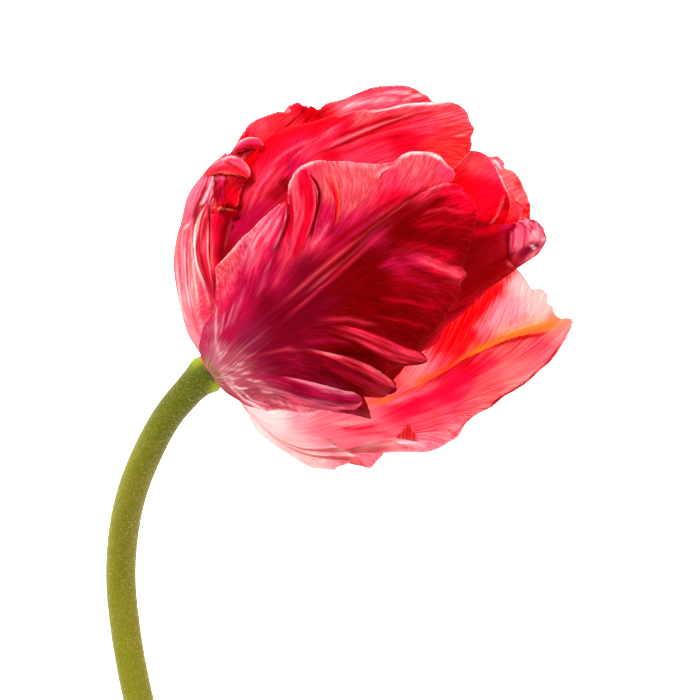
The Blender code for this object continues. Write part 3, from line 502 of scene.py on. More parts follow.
LEFT_OUTER = Tepal(
    node="tepal_left_outer", cup="closed", layer=1.8, base_from=32, base_to=90,
    rim=[
        (13, 22, 0, 0), (22, 19, 0, 0), (-0.8, 15, 1, 0), (-1.2, 19, 1, 0.1), (-1.2, 22.6, 1, 0.2),
        (-1, 26.6, 1, 0.3), (-0.8, 30, 1, 0.4), (0.6, 34, 1, 0.5), (2.4, 36.4, 1, 0.6), (4.6, 37.4, 1, 0.8),
        (5, 39.6, 1, 0.5), (5.6, 41.6, 1, 0.6), (7, 43.2, 1, 1), (7, 45.6, 1, 1), (6.2, 47.4, 1, 0.6),
        (8.6, 49.6, 1, 0.8), (9.9, 51, 1, 0.8), (8.6, 52.2, 1, 0.4), (6.6, 52, 1, 0.2), (4.8, 50.6, 1, 0.1),
        (3.2, 49, 1, 0), (50, 88, 0, 0), (0.4, 46.6, -1, 0.2), (-1, 45, -1, 0.1), (-2.2, 43.6, -1, 0),
        (-3.4, 41.8, -1, 0), (-4.4, 40.2, -1, 0), (-5.2, 37.4, -1, 0), (-6.4, 34.2, -1, 0),
        (-8.6, 30.6, -1, 0.2), (-9.4, 27, -1, 0.1), (-9.6, 24, -1, 0), (24, 112, 0, 0), (17, 108, 0, 0),
        (12, 104, 0, 0),
    ],
    tints={
        "blush": [(-2, 5, 4), (-6, 11, 3)],
        "cream": [(-8, 16, 2)],
        "rose": [(-3, 12, 2)],
        "coral": [(-9.4, 20, 1.4), (-7, 31, 1.6), (-2.6, 15, 2), (4, 46, 2.4)],
        "salmon": [(-7.6, 22, 2), (-7.6, 28, 2), (-8.8, 28, 1.2), (-5, 20, 2)],
        "ash": [(-4, 31, 2.2)],
        "crimson": [(-2.6, 26, 1.6), (1, 31, 2.4), (3, 34, 2), (5, 42, 2), (-0.2, 41.6, 1.8)],
        "vermilion": [(-0.6, 24, 2), (6, 44, 1.6)],
        "scarlet": [(3.4, 39, 2.4)],
        "mauve": [(-3.6, 37, 2)],
        "pink": [(-3, 41, 1.6)],
        "ruby": [(0, 46, 2)],
        "raspberry": [(7, 51, 2), (0.4, 18, 2.4)],
        "deep": [(5.6, 48.6, 1.6)],
    },
    strokes=[
        ("cream", 0.9, 0.45, [(-9, 30.2), (-8.9, 26), (-8.6, 21), (-7.8, 15), (-5.8, 9)]),
        # The white lines along the strips' edges are painted highlights.
        ("white", 0.85, 0.4, [(-8.6, 30.9), (-6.4, 32.8), (-4.4, 33.8)]),
        ("white", 0.8, 0.3, [(-6, 31), (-5.9, 27), (-5.3, 22.6), (-4.8, 18), (-4, 12)]),
        ("coral", 0.7, 0.5, [(-7, 30), (-7.2, 25), (-7, 20), (-6.2, 15)]),
        ("blush", 0.7, 0.4, [(-6.6, 26), (-6.4, 21), (-6, 17)]),
        ("white", 0.7, 0.35, [(-5.2, 20.6), (-6, 19.4), (-6.4, 15), (-5.8, 11)]),
        ("coral", 0.8, 0.4, [(-9.7, 27), (-9.6, 21), (-9, 15), (-7, 9)]),
        ("rose", 0.7, 0.4, [(-3.6, 20), (-3, 15), (-1.8, 9)]),
        ("rose", 0.6, 0.4, [(-6, 14), (-4.6, 9), (-2.8, 5)]),
        ("raspberry", 0.6, 0.4, [(-1.4, 15), (-1.2, 10), (-0.8, 6)]),
        ("white", 0.8, 0.4, [(-3.4, 36), (-2, 38.6), (-1.4, 41.6), (-0.6, 43.6)]),
        ("orange", 0.7, 0.4, [(-2.4, 43.4), (0.6, 44.1), (4.6, 44), (7, 43.2)]),
        ("deep", 0.8, 0.5, [(5.2, 47.4), (6, 49), (7, 49.8)]),
    ],
    folds=[
        (0.9, 0.5, 2, [(0, 13), (-2.2, 20), (-4.6, 24), (-5.4, 28), (-5.4, 34)]),
        (0.8, 0.5, 2, [(0.4, 18), (-1, 22), (-1.8, 27), (-2, 32), (-2.4, 38)]),
        (0.9, 0.8, 2.2, [(6, 36.4), (3.4, 36.9), (1, 36.1), (-2.2, 34.8)]),
        (1, 0.7, 2.4, [(-3.4, 43), (0.4, 44), (4.4, 43.8), (8, 42.6)]),
        (0.8, 0.5, 2, [(2.4, 48.2), (5.4, 49.6), (8.4, 49.8), (11, 50.4)]),
    ],
    ridges=[
        (0.4, 0.8, [(-7, 14), (-8, 22), (-7.4, 31)]), (-0.4, 0.8, [(-5, 14), (-6.6, 22), (-6.2, 31)]),
        (0.5, 0.9, [(-2.6, 37), (-1.6, 40), (-1.2, 43)]),
        (-1.9, 3.5, [(-9, 4), (-12, 14), (-13, 24), (-12, 32), (-8, 42)]),
    ],
    mottle=0.5, detail=1.15, veins=("raspberry", 0.3),
)
REAR_UPPER = Tepal(
    node="tepal_rear_upper", cup="closed", layer=0.3, base_from=106, base_to=158,
    rim=[
        (14, 97, 0, 0), (28, 89, 0, 0), (39, 83, 0, 0), (48, 79, 0, 0), (6.4, 53.2, 1, 0.3),
        (8.4, 55.2, 1, 0.4), (11, 56.6, 1, 0.5), (13.6, 57.6, 1, 0.6), (67, 90, 0, 0.4), (17, 59.8, -1, 0.9),
        (18.9, 60.5, -1, 0.9), (20, 58.9, -1, 0.4), (21.2, 60.2, -1, 0.6), (23.4, 59.6, -1, 0.4),
        (25.2, 60.4, -1, 0.3), (27.6, 61.2, -1, 0.3), (30, 62.1, -1, 0.4), (33, 63.3, -1, 0.5),
        (36, 64.4, -1, 0.6), (39, 65, -1, 0.8), (42, 65.1, -1, 0.8), (45, 64.5, -1, 0.6), (48, 62.9, -1, 0.4),
        (50, 60.3, -1, 0.2), (52.6, 54.4, -1, 0), (90, 168, 0, 0), (76, 172, 0, 0), (60, 173, 0, 0),
        (44, 172, 0, 0), (28, 170, 0, 0), (14, 167, 0, 0),
    ],
    tints={
        "cream": [(0, 4, 6)],
        "shell": [(-4, 16, 6)],
        "salmon": [(-2, 34, 8)],
        "scarlet": [(6, 50, 3)],
        "pink": [(9, 55, 2.4), (34, 61.6, 3), (40, 62.4, 3)],
        "coral": [(13, 55.6, 2.4), (16, 58, 2.4), (24.6, 59.6, 1.6), (46, 62, 2.6), (50, 40, 10)],
        "rose": [(18.6, 58.6, 2), (30, 40, 10)],
        "ruby": [(22, 58.6, 2)],
        "blush": [(29, 60.6, 2.6)],
    },
    strokes=[
        ("crimson", 0.6, 0.6, [(19.2, 59.4), (20, 57.4), (21, 56)]),
        ("crimson", 0.5, 0.5, [(22.6, 59), (24.4, 58.2), (28, 58.8)]),
        ("white", 0.95, 0.5,
         [(28.4, 58.8), (31, 60.8), (34.4, 62.6)],
         [(31.6, 59.4), (34.8, 61.6), (38.4, 63.6)],
         [(35.2, 60), (38.4, 62.4), (41.8, 64.4)],
         [(38.8, 60.6), (41.8, 62.8), (45.2, 64.2)],
         [(42.2, 61), (45, 62.8), (47.8, 63.4)]),
        ("cream", 0.8, 0.35,
         [(33.4, 59.8), (36.6, 62), (40, 64.2)],
         [(37, 60.2), (40, 62.6), (43.4, 64.6)],
         [(30, 59), (32.8, 61.2), (36.2, 63)]),
        ("rose", 0.6, 0.6, [(30, 60.8), (38, 62.6), (46, 62.4)]),
    ],
    folds=[(0.6, 0.4, 2, [(24, 57.8), (21.4, 58.4), (19.6, 60.6)])],
    ridges=[(0.5, 1, [(10, 50), (13, 54), (16, 58)]), (0.5, 1.2, [(24, 57), (32, 60), (40, 62), (48, 61.4)])],
    mottle=0.7, detail=0.8, veins=("rose", 0.4),
)
REAR_RIGHT = Tepal(
    node="tepal_rear_right", cup="closed", layer=-1, base_from=165, base_to=209,
    rim=[
        (14, 158, 0, 0), (30, 153, 0, 0), (48, 150, 0, 0), (66, 150, 0, 0), (84, 154, 0, 0), (56, 50, -1, 0),
        (60, 48.8, -1, 0.2), (62.6, 48.4, -1, 0.4), (64.4, 48.4, -1, 0.6), (65.6, 47.3, -1, 0.6),
        (66, 45.9, -1, 0.4), (68, 45.1, -1, 0.4), (69.8, 43, -1, 0.4), (70.8, 41, -1, 0.5),
        (71.6, 38.6, -1, 0.6), (71.9, 36.2, -1, 0.5), (72, 34.2, -1, 0.4), (71.4, 31.6, -1, 0.2),
        (70.2, 28.4, -1, 0), (86, 251, 0, 0), (74, 242, 0, 0), (60, 234, 0, 0), (44, 227, 0, 0),
        (28, 221, 0, 0), (14, 218, 0, 0),
    ],
    tints={
        "cream": [(0, 0, 6)],
        "crimson": [(30, 10, 12)],
        "scarlet": [(55, 25, 8), (71, 36.4, 1), (70, 31, 3)],
        "coral": [(64.4, 47, 1.4), (68, 35.6, 2)],
        "salmon": [(66, 44, 2), (68, 42, 2), (67.6, 40.6, 1.6), (70.6, 39, 1.6)],
        "vermilion": [(70, 42, 1.4)],
        "amber": [(70.8, 33.6, 0.8)],
    },
    strokes=[
        ("salmon", 0.8, 0.3,
         [(65.8, 44.6), (67.6, 44.2), (69.2, 42.6)],
         [(66.2, 43), (68.2, 42.4), (69.8, 40.8)]),
        ("white", 0.9, 0.25, [(62.8, 48.2), (64.4, 46.9), (65.3, 44.8)]),
        ("scarlet", 0.8, 0.35, [(67.8, 39.6), (69.4, 37.6), (71.2, 35.4)]),
        ("white", 1, 0.3, [(68.4, 39.4), (70.2, 37.5), (71.8, 35.8)]),
        ("blush", 0.8, 0.3, [(69.2, 37.4), (69.9, 35.2), (70.2, 32.8)]),
        ("plum", 0.8, 0.4, [(71.9, 35), (71.3, 31.8)]),
    ],
    folds=[(0.5, 0.4, 2, [(72, 36), (69, 38.4), (66, 41)])],
    ridges=[(0.5, 1.2, [(60, 36), (66, 41), (70, 43)])],
    mottle=0.5, detail=0.65, veins=("rose", 0.3),
)
LOWER_OPEN = Tepal(
    node="tepal_lower_open", cup="open", layer=0, base_from=-116, base_to=-154,
    rim=[
        (12, -95, 0, 0), (20, -87, 0, 0), (28, -85, 0, 0), (34, -91, 0, 0.2), (27.5, -23.6, -1, 0.6),
        (30, -22.6, -1, 0.4), (31.8, -21.2, -1, 0.2), (33.2, -22.2, -1, 0.3), (34.8, -23, -1, 0.4),
        (36.8, -21.6, -1, 0.5), (38.4, -19.4, -1, 0.3), (38.4, -18, -1, 0.1), (40.6, -17.6, -1, 0),
        (42.2, -18.6, -1, 0), (45, -19.5, -1, 0.2), (48, -19.8, -1, 0.4), (51, -19.1, -1, 0.4),
        (53.2, -17.6, -1, 0.4), (55.6, -16, -1, 0.3), (56.8, -14, -1, 0.2), (59, -11.8, -1, 0.2),
        (62, -9.8, -1, 0.2), (65, -8, -1, 0.2), (68, -6.3, -1, 0.2), (71, -4.4, -1, 0.2), (74, -2.1, -1, 0.2),
        (76.8, 0.8, -1, 0.2), (79, 4, -1, 0.2), (80.6, 7, -1, 0.2), (81.8, 10.1, -1, 0.2),
        (80.6, 11.1, -1, 0.3), (78.2, 11.4, -1, 0.4), (77.6, 13.4, -1, 0.4), (76.6, 14.6, -1, 0.3),
        (76.1, 16.6, -1, 0.4), (74.2, 18, -1, 0.2), (72.2, 18.1, -1, 0), (71.2, 19.6, -1, 0.1),
        (70, 21.8, -1, 0.2), (67, 23, -1, 0.1), (64, 24, -1, 0), (85, -171, 0, 0), (72, -174, 0, 0),
        (58, -175, 0, 0), (44, -174, 0, 0), (30, -170, 0, 0), (16, -165, 0, 0),
    ],
    tints={
        "white": [(2, -4, 5), (10, -13, 5)],
        "shell": [(17, -18, 3), (22, -20, 3), (69, 19, 3), (72, 15, 3), (75, 13, 3)],
        "blush": [(19, -12, 3), (42, -18.4, 1.6), (47, -18.8, 1.6), (64, 11, 2), (67, 14, 3)],
        "pink": [
            (26, -11.5, 3), (24, -15.5, 3), (30, -13, 3), (35, -12, 3), (30, -17, 3), (36, -18, 3),
            (33, -22, 2), (36, -10, 2), (42, -8, 2), (48, -17, 3), (54, -14, 3), (47, -0.4, 2),
            (61, 8.2, 1.6),
        ],
        "rose": [(40, -11, 2), (50, -12, 3), (46, -13.4, 2), (62, 1, 2), (76, 4, 3), (51.6, 1.6, 2)],
        "cerise": [(45, -10.5, 3), (54, -8, 3), (57.6, -3.4, 2.4)],
        "coral": [(59, -10, 2.4), (62, -6, 3), (70, 3.4, 3), (79, 7, 2)],
        "ruby": [(58.4, -0.6, 1.6), (53, 4.4, 2), (58.6, 7, 1.4)],
        "salmon": [(69, -2, 3.4), (45, -3, 2)],
        "scarlet": [(56, 8.5, 2.4), (60, 13, 2.4), (64, 18, 2.4), (67, 22, 2), (30, 5, 8)],
        "orange": [(60, 4.4, 1.6), (66, 6.6, 1.8), (72, 8.6, 1.8), (78, 9.8, 2)],
    },
    strokes=[
        ("cerise", 0.8, 1.5, [(35, -11.6), (44, -10.2), (52, -7.2), (57, -3.4), (62, 0.4), (68, 2.6)]),
        ("cerise", 0.6, 0.6, [(40, -12.8), (48, -11.2), (56, -8), (62, -3.6)]),
        ("orange", 0.95, 1.5, [(55, 1.8), (60, 4), (64, 5.8), (69, 7.6), (75, 9), (82, 10.4)]),
        ("amber", 1, 0.6, [(50, -1), (55, 2.2), (60, 4.4), (64, 6.4), (69, 8.4), (75, 9.8), (82, 10.8)]),
        ("amber", 0.9, 0.3, [(56, 1.2), (61, 3.2), (66, 5), (72, 6.8)]),
        ("shell", 0.8, 0.45, [(62, 7.6), (66, 9), (71, 10.6), (78, 11.2)]),
        ("orange", 1, 0.7, [(31, -9), (38, -7.9), (43, -6.7), (47, -5.2), (51, -3.4)]),
        ("amber", 1, 0.6, [(36, -8.2), (41, -7.2), (46, -5.6), (50, -3.8)]),
        ("orange", 1, 0.9, [(44, -3.4), (50, -1.4), (56, 1.4)]),
        ("ruby", 0.9, 0.5, [(46, -5.8), (51, -3.4), (55, -0.8), (59, 1.6), (64, 4), (70, 5.9), (78, 8)]),
        ("ruby", 0.9, 0.4, [(48, -3.2), (53, -0.8), (56, 1.4), (59, 3.4)]),
        ("scarlet", 0.85, 1.2, [(50, 2), (54, 5.8), (58, 10), (62, 14.6), (65.6, 19), (68, 23)]),
        # Painted light: pale strokes that lift the shaded folds near the lower rim.
        ("shell", 0.8, 0.8, [(26, -19.8), (30, -21), (34, -22.8)]),
        ("white", 0.9, 0.9, [(31, -19.8), (35, -18.6), (39, -18.6), (44, -19.2)]),
        ("crimson", 0.7, 0.3, [(44, -5.6), (50, -3.2), (54, -0.4), (57, 2.6)]),
        ("white", 0.95, 0.7, [(24.6, -17), (27, -19), (29.5, -19.8), (32.4, -21.4)]),
        ("raspberry", 0.8, 0.5, [(27, -14.6), (32, -14.7), (38, -13.8)]),
        ("rose", 0.7, 0.5, [(30, -16), (36, -15.6), (42, -16.4)]),
        ("white", 0.8, 0.5, [(38.6, -18.2), (41, -17.8), (45, -17.9), (49, -18.6)]),
        ("shell", 0.8, 0.5, [(24, -13.2), (31, -13.4), (38, -12.4)]),
        ("shell", 0.7, 0.5, [(16, -16), (24, -17), (30, -17.6)]),
        ("shell", 0.6, 0.4, [(34, -9.8), (40, -9.2), (47, -7), (53, -3.8)]),
        ("crimson", 0.8, 0.22, [(57, 0.5), (63, 3.2), (70, 5.3), (78, 7.9)]),
        ("amber", 1, 0.25, [(62, 4.4), (68, 6.6), (75, 8.4), (82, 10.2)]),
        ("cream", 0.8, 0.25, [(63, 7.2), (70, 9.4), (77, 10.7)]),
        ("pink", 0.3, 0.8,
         [(42, -13), (49, -12.6), (56, -14)],
         [(48, -10.4), (56, -9.4), (64, -9.2)],
         [(54, -6.6), (62, -5), (70, -5.2)],
         [(60, -3), (68, -1.2), (76, -0.2)],
         [(66, 0.8), (72, 2.2), (79, 3.6)]),
        ("garnet", 0.9, 0.3, [
            (52, -18.6), (58, -12.8), (65, -8), (72, -3.8), (77, 1.2), (80, 6), (81.4, 9.6),
        ]),
    ],
    folds=[
        (0.7, 0.9, 4, [(34, -11), (43, -7), (51, -3.4), (57, 0.6), (66, 4.8), (80, 9.4)]),
        (0.2, 0.2, 2, [(24, -15), (27, -18.6), (29.5, -19.8), (32.2, -21.4)]),
    ],
    ridges=[
        (0.9, 2.4, [(30, -7), (44, -3), (56, 3.6), (68, 9), (80, 11)]),
        (-0.8, 2.4, [(54, 5), (62, 11), (70, 16)]), (-0.7, 3, [(34, -15), (48, -11), (60, -6), (72, 0)]),
        (0.2, 1.6, [(20, -14), (28, -17), (34, -21)]),
    ],
    mottle=0.5, detail=1.15, veins=("shell", 0.6),
)
OUTER_TEPALS = [FRONT_OUTER, LEFT_OUTER, FRONT_UPPER, LOWER_OPEN]
INNER_TEPALS = [REAR_UPPER, FRONT_LOWER, REAR_RIGHT, FRONT_INNER]

# Where the midrib meets the rim, for the tepals whose veins fan away from it.
MIDRIBS = {
    "tepal_front_outer": (55.2, 41.5), "tepal_front_upper": (56.4, 58.8), "tepal_lower_open": (81.8, 10.1),
}

FRONT_OUTER_LOBES = [
    Lobe(["ruby", "rose", "crimson", "rose", "crimson", "deep"], 0.5, [
        (24, 9, 1, 1, -0.3), (31, 7, 1.8, 1.6, 0.3), (37, 4.6, 2.3, 2.2, 0.8), (42, 2.6, 1.9, 2.3, 1),
        (46, 1.7, 1.4, 1.4, 1.1), (48.1, 1.3, 0.3, 0.4, 1),
    ], [("coral", 0.6, 0.3, [(41, 3.6), (45, 3.2), (47.8, 1.9)])]),
    Lobe(["salmon", "rose", "deep", "wine", "deep", "crimson"], 0.7, [
        (17, 3.6, 1, 1, -0.3), (24, 1.8, 1.6, 1.6, 0.4), (30, -0.5, 2.3, 2.4, 1.2), (35, -2.9, 2.6, 2.5, 1.7),
        (38.6, -4.7, 1.9, 1.8, 1.8), (40.3, -5.2, 1, 1, 1.7), (41.1, -5, 0.2, 0.2, 1.6),
    ], [
        ("coral", 0.8, 0.3, [(26, 3), (31, 1.8), (35.4, -0.4), (39, -2.8), (41, -4.6)]),
        ("raspberry", 0.7, 0.5, [(24, 0.4), (30, -1.8), (36, -4.6), (39.6, -6)]),
    ]),
    Lobe(["deep", "crimson", "black_red"], 0.2, [
        (29, -6.8, 1, 1, -0.2), (32, -7.8, 1.5, 1.2, 0.4), (33.9, -9.9, 0.8, 0.8, 0.6),
        (35.1, -12.1, 0.1, 0.1, 0.6),
    ], [("coral", 0.7, 0.3, [(31.4, -9.6), (33.4, -10.8), (35, -12)])]),
    Lobe(["pink", "plum", "raspberry", "wine", "plum", "ash", "rose"], 0.6, [
        (11, -3.2, 1.4, 1.6, -0.3), (18, -5.2, 2.4, 3, 0.5), (24, -7, 2.7, 2.9, 1.1),
        (29, -7.8, 2.2, 2.1, 1.5), (31.8, -7.8, 1.6, 1.7, 1.6), (33, -7.6, 0.4, 0.5, 1.5),
    ], [
        ("blush", 0.8, 0.3, [(20, -3), (25, -4.4), (29.4, -5.7), (32.4, -6.6)]),
        ("pink", 0.6, 0.4, [(14, -5.6), (20, -7.6), (27, -8.6)]),
    ]),
    Lobe(["rose", "rose", "pink", "rose", "rose", "raspberry", "raspberry"], 0.5, [
        (7, 18, 1.4, 1.4, -0.3), (8.6, 23, 2, 2.2, 0.3), (10.8, 28, 2.4, 2.6, 0.7), (13, 32, 2.1, 2.1, 1),
        (14.5, 35, 1.3, 1.5, 1.2), (15.6, 36.9, 0.4, 0.5, 1.2),
    ], [
        ("cream", 0.9, 0.4, [(12.6, 25), (14.2, 29), (15.8, 32.6), (16.2, 35.2), (15.4, 37)]),
        ("shell", 0.7, 0.4, [(7, 25), (9.6, 29.4), (13.4, 34.4)]),
        ("shell", 0.6, 0.4, [(10.6, 27), (13, 31), (15, 35)]), ("ruby", 0.6, 0.4, [(8.6, 26), (11, 30)]),
    ]),
    Lobe(["coral", "rose", "ruby", "ruby", "ruby", "rose"], 0.4, [
        (16.2, 21, 1, 1, -0.3), (18, 27, 1.5, 1.5, 0.1), (19.8, 32.4, 2.2, 1.8, 0.5),
        (20.7, 37, 3.2, 1.9, 0.7), (20.4, 40.4, 3.2, 1.8, 0.7), (20, 42.8, 2.3, 1.3, 0.4),
        (19.9, 44.8, 0.8, 0.6, 0),
    ], [
        ("coral", 0.7, 0.3, [(20, 28), (21.6, 32.4), (22.6, 37), (22.2, 40.2), (21, 42.8)]),
        ("coral", 0.6, 0.5, [(18, 29), (19.4, 34), (19.8, 40)]),
    ]),
    Lobe(["orange", "vermilion", "scarlet", "crimson"], 0.3, [
        (25.4, 44.2, 0.3, 0.3, 0.2), (26.2, 42.4, 0.8, 0.8, 0.6), (27.1, 40, 0.7, 0.7, 0.7),
        (27.7, 37.5, 0.5, 0.6, 0.5), (27.4, 34, 0.3, 0.4, 0.1), (26.6, 30.6, 0.2, 0.2, -0.2),
    ], []),
    # A dark lobe standing for the slit's gap: its black-red paints are painted shadow, its shell stroke a
    # painted highlight.
    Lobe(["raspberry", "black_red", "black_red", "deep", "rose"], 0.1, [
        (20.4, 26.6, 0.2, 0.2, -0.2), (22.2, 31.6, 0.3, 0.3, 0.1), (23.2, 36, 0.4, 0.4, 0.3),
        (23.4, 39.4, 0.4, 0.4, 0.3), (22.6, 42, 0.3, 0.3, 0.2), (21.4, 43.6, 0.1, 0.1, 0),
    ], [("shell", 0.8, 0.15, [(22.8, 37), (23, 39.6), (22.3, 42)])]),
]
# The white strokes along these lobes' edges are painted highlights.
LEFT_OUTER_LOBES = [
    Lobe(["salmon", "coral", "blush", "coral", "pink", "rose", "salmon"], 0.3, [
        (-3.4, 4, 1, 1, -0.2), (-6, 11, 1.5, 1.5, 0.1), (-7.4, 17, 1.7, 1.6, 0.2), (-7.8, 23, 1.7, 1.6, 0.3),
        (-7.7, 28, 1.4, 1.5, 0.3), (-7.4, 31, 0.8, 0.8, 0.1),
    ], [
        ("cream", 0.9, 0.25, [(-9.2, 26), (-9, 20), (-8, 13), (-5.6, 8)]),
        ("rose", 0.7, 0.3, [(-8.5, 28), (-8.4, 22), (-7.6, 15)]),
        ("white", 0.9, 0.2, [(-7.3, 30), (-7.3, 24), (-6.9, 18), (-5.6, 11)]),
        ("cream", 0.9, 0.2, [(-6.5, 29), (-6.5, 23), (-6.2, 18), (-4.9, 11)]),
        ("ruby", 0.5, 0.25, [(-6.9, 27), (-6.9, 22), (-6.5, 17)]),
    ]),
    Lobe(["vermilion", "ruby", "ruby", "crimson", "crimson"], 0.3, [
        (-0.6, 15, 0.6, 0.8, -0.2), (-0.5, 22, 1, 1.6, 0.3), (0.1, 28, 1.7, 2.4, 0.6), (0.8, 33, 2.3, 3, 0.8),
        (1.6, 36.3, 3, 3.3, 0.9),
    ], [
        ("orange", 0.9, 0.45, [(-1.6, 35.9), (1.6, 36.2), (5.2, 36.1)]),
        ("salmon", 0.7, 0.5, [(-0.9, 20), (-1.2, 26), (-1.4, 33)]),
        ("deep", 0.6, 0.6, [(2, 34), (3, 31), (2.4, 26)]),
        ("coral", 0.6, 0.4, [(3.6, 35), (2.8, 31), (1.6, 26)]),
    ]),
    Lobe(["salmon", "shell", "crimson", "rose", "crimson", "coral", "ruby", "rose"], 0.6, [
        (-0.6, 12, 0.6, 0.6, -0.2), (-1.9, 18, 1.1, 1.1, 0.5), (-3.4, 24, 1.5, 1.6, 1.1),
        (-3.7, 30, 1.6, 1.8, 1.4), (-3.1, 34, 1.2, 1.2, 1.4), (-2.1, 37.1, 0.2, 0.2, 1.3),
    ], [
        ("white", 0.9, 0.2, [(-1.2, 14), (-2.8, 19), (-4.6, 23.4), (-5.2, 28), (-4.8, 32), (-3, 36)]),
        ("crimson", 0.8, 0.4, [(-1.4, 17), (-2.8, 22), (-3.6, 27)]),
        ("cream", 0.8, 0.18, [(-0.4, 15), (-1.2, 20), (-2, 25), (-2.2, 30), (-1.9, 35)]),
        ("crimson", 0.6, 0.35, [(-2.8, 28), (-2.6, 32), (-2.4, 35)]),
    ]),
    Lobe(["rose", "mauve", "crimson", "mauve", "raspberry", "shell"], 0.4, [
        (-5.6, 28, 0.8, 0.8, -0.2), (-5, 32, 1.3, 1.6, 0.2), (-4.2, 36, 1.4, 2, 0.5),
        (-2.9, 40, 1.3, 1.8, 0.7), (-1.8, 43.8, 0.6, 1, 0.7),
    ], [
        ("white", 0.8, 0.4, [(-4.8, 35), (-2.8, 38), (-1.6, 41), (-1, 43.6)]),
        ("crimson", 0.8, 0.5, [(-5.4, 34), (-4, 36.4), (-1.8, 36.8)]),
        ("crimson", 0.7, 0.4, [(-3.6, 39), (-2.4, 41.4)]),
    ]),
    Lobe(["mauve", "crimson", "raspberry", "crimson", "scarlet"], 0.5, [
        (1.4, 36, 0.3, 0.6, -0.2), (0.8, 38, 1.2, 1.6, 0.1), (0.6, 40.4, 1.7, 2, 0.5),
        (0.8, 42.4, 1.6, 1.6, 0.7), (1.2, 44, 0.8, 0.8, 0.6),
    ], [
        ("mauve", 0.8, 0.5, [(-0.6, 42.4), (0.8, 43.2), (2.4, 42.6)]),
        ("white", 0.8, 0.2, [(-0.9, 38.8), (-1.2, 40.6), (-0.7, 42.4)]),
        ("deep", 0.7, 0.4, [(0.4, 37.6), (0.6, 39.6), (1.4, 41.4)]),
    ]),
    Lobe(["shell", "rose", "coral", "ruby", "vermilion", "orange"], 0.9, [
        (-2.7, 43.6, 0.2, 0.2, 1), (-1, 44.8, 1, 0.9, 1.4), (1, 45.9, 1.5, 1.8, 1.8), (3, 46.2, 1.9, 2.3, 2),
        (5, 45.6, 1.7, 1.9, 2), (6.5, 44.4, 1.1, 1.1, 1.8), (7.2, 43.2, 0.2, 0.2, 1.6),
    ], [
        ("crimson", 0.8, 0.4, [(1.4, 47.2), (3.4, 46), (5.6, 44.6)]),
        ("white", 0.7, 0.35, [(0.6, 46.8), (3, 48), (5, 47.4)]),
    ]),
    Lobe(["shell", "rose", "raspberry", "crimson", "rose"], 0.7, [
        (3.8, 48.6, 0.2, 0.2, 0.9), (5.2, 50, 1.2, 1, 1.3), (7.2, 51, 1.3, 1.3, 1.6), (9.2, 51, 1, 1.1, 1.5),
        (10.5, 50.4, 0.2, 0.2, 1.3),
    ], []),
]
FRONT_LOWER_LOBES = [
    Lobe(["deep", "raspberry", "rose", "pink", "rose", "raspberry", "blush", "pink", "plum"], 0.9, [
        (68.2, 22.9, 0.1, 0.1, 0.3), (68.4, 24.2, 1.7, 1.7, 0.6), (69, 26, 2.7, 3.5, 0.9),
        (69.6, 28, 3.3, 5, 1.2), (69.8, 29.6, 3.4, 5.7, 1.3), (69.8, 31, 3.2, 4.8, 1.3),
        (69.4, 32, 2.4, 3, 1.2), (68.6, 32.8, 0.8, 0.8, 1.1),
    ], [
        ("pink", 0.7, 0.2, [(67.3, 24.8), (67.2, 28), (67.4, 31.4)], [(68.3, 25), (68.4, 28), (68.5, 31.6)]),
        ("blush", 0.6, 0.2, [(69.4, 26), (69.6, 29), (69.6, 31.8)]),
        ("crimson", 0.7, 0.25, [(66.8, 25), (66.7, 28), (66.9, 31.6)]),
        ("raspberry", 0.8, 0.25, [(71.2, 26.8), (71.4, 29), (71.5, 31.6)]),
        ("shell", 0.9, 0.5, [(72.1, 28.4), (72.2, 29.8), (72.4, 31.4)]),
        ("wine", 0.9, 0.9, [(68, 24.4), (70.4, 25.8), (72.6, 27.4), (74.8, 28.8)]),
        # Painted glints on the curled flap.
        ("white", 1, 0.3, [(71.2, 27.6), (72.1, 27.6), (72.9, 26.5)]),
        ("cream", 1, 0.25, [(74.4, 29.7), (74.9, 28.7)]),
        ("salmon", 0.9, 0.3, [(68.6, 23), (71.8, 25.2), (74.4, 27.6)]),
    ]),
]
LOWER_OPEN_LOBES = [
    Lobe(["salmon", "coral", "coral", "coral", "salmon"], 0.3, [
        (43.9, -13.6, 0.1, 0.1, 0.7), (43.9, -15, 1, 1.2, 1.2), (43.8, -16.4, 2.2, 2.4, 1.3),
        (43.7, -17, 2.5, 2.7, 1.2),
    ], [("vermilion", 0.9, 2.6, [(43.9, -14), (43.8, -15.4), (43.7, -17)])]),
]
LOBES = {
    "tepal_front_outer": FRONT_OUTER_LOBES,
    "tepal_left_outer": LEFT_OUTER_LOBES,
    "tepal_front_lower": FRONT_LOWER_LOBES,
    "tepal_lower_open": LOWER_OPEN_LOBES,
}

# The stem's middle line and radius from the dome of the receptacle to the cut, as (x, y, z, radius).
STEM_LINE = [
    (1.5, 1.1, 0, 2.4), (1.1, 0.8, 0, 3.6), (0.3, 0.2, 0, 4.3), (-2, -1.5, 0, 4.4), (-2.7, -1.95, 0, 4.7),
    (-3.6, -2.7, -0.1, 4.4), (-4.8, -3.7, -0.3, 3.9), (-6.6, -5.5, -0.9, 3.6), (-10.8, -10.4, -3.4, 3.5),
    (-16.3, -20, -9.2, 3.5), (-20.2, -30, -15.8, 3.5), (-22.2, -40, -21.8, 3.5), (-22.7, -50, -25.9, 3.5),
    (-21.8, -60, -27.3, 3.5), (-20.2, -70, -27.4, 3.5), (-18, -80, -27.4, 3.5), (-15, -91, -27.4, 3.5),
    (-11.2, -103, -27.4, 3.5), (-7, -114, -27.4, 3.5), (-2.5, -125, -27.4, 3.5),
]

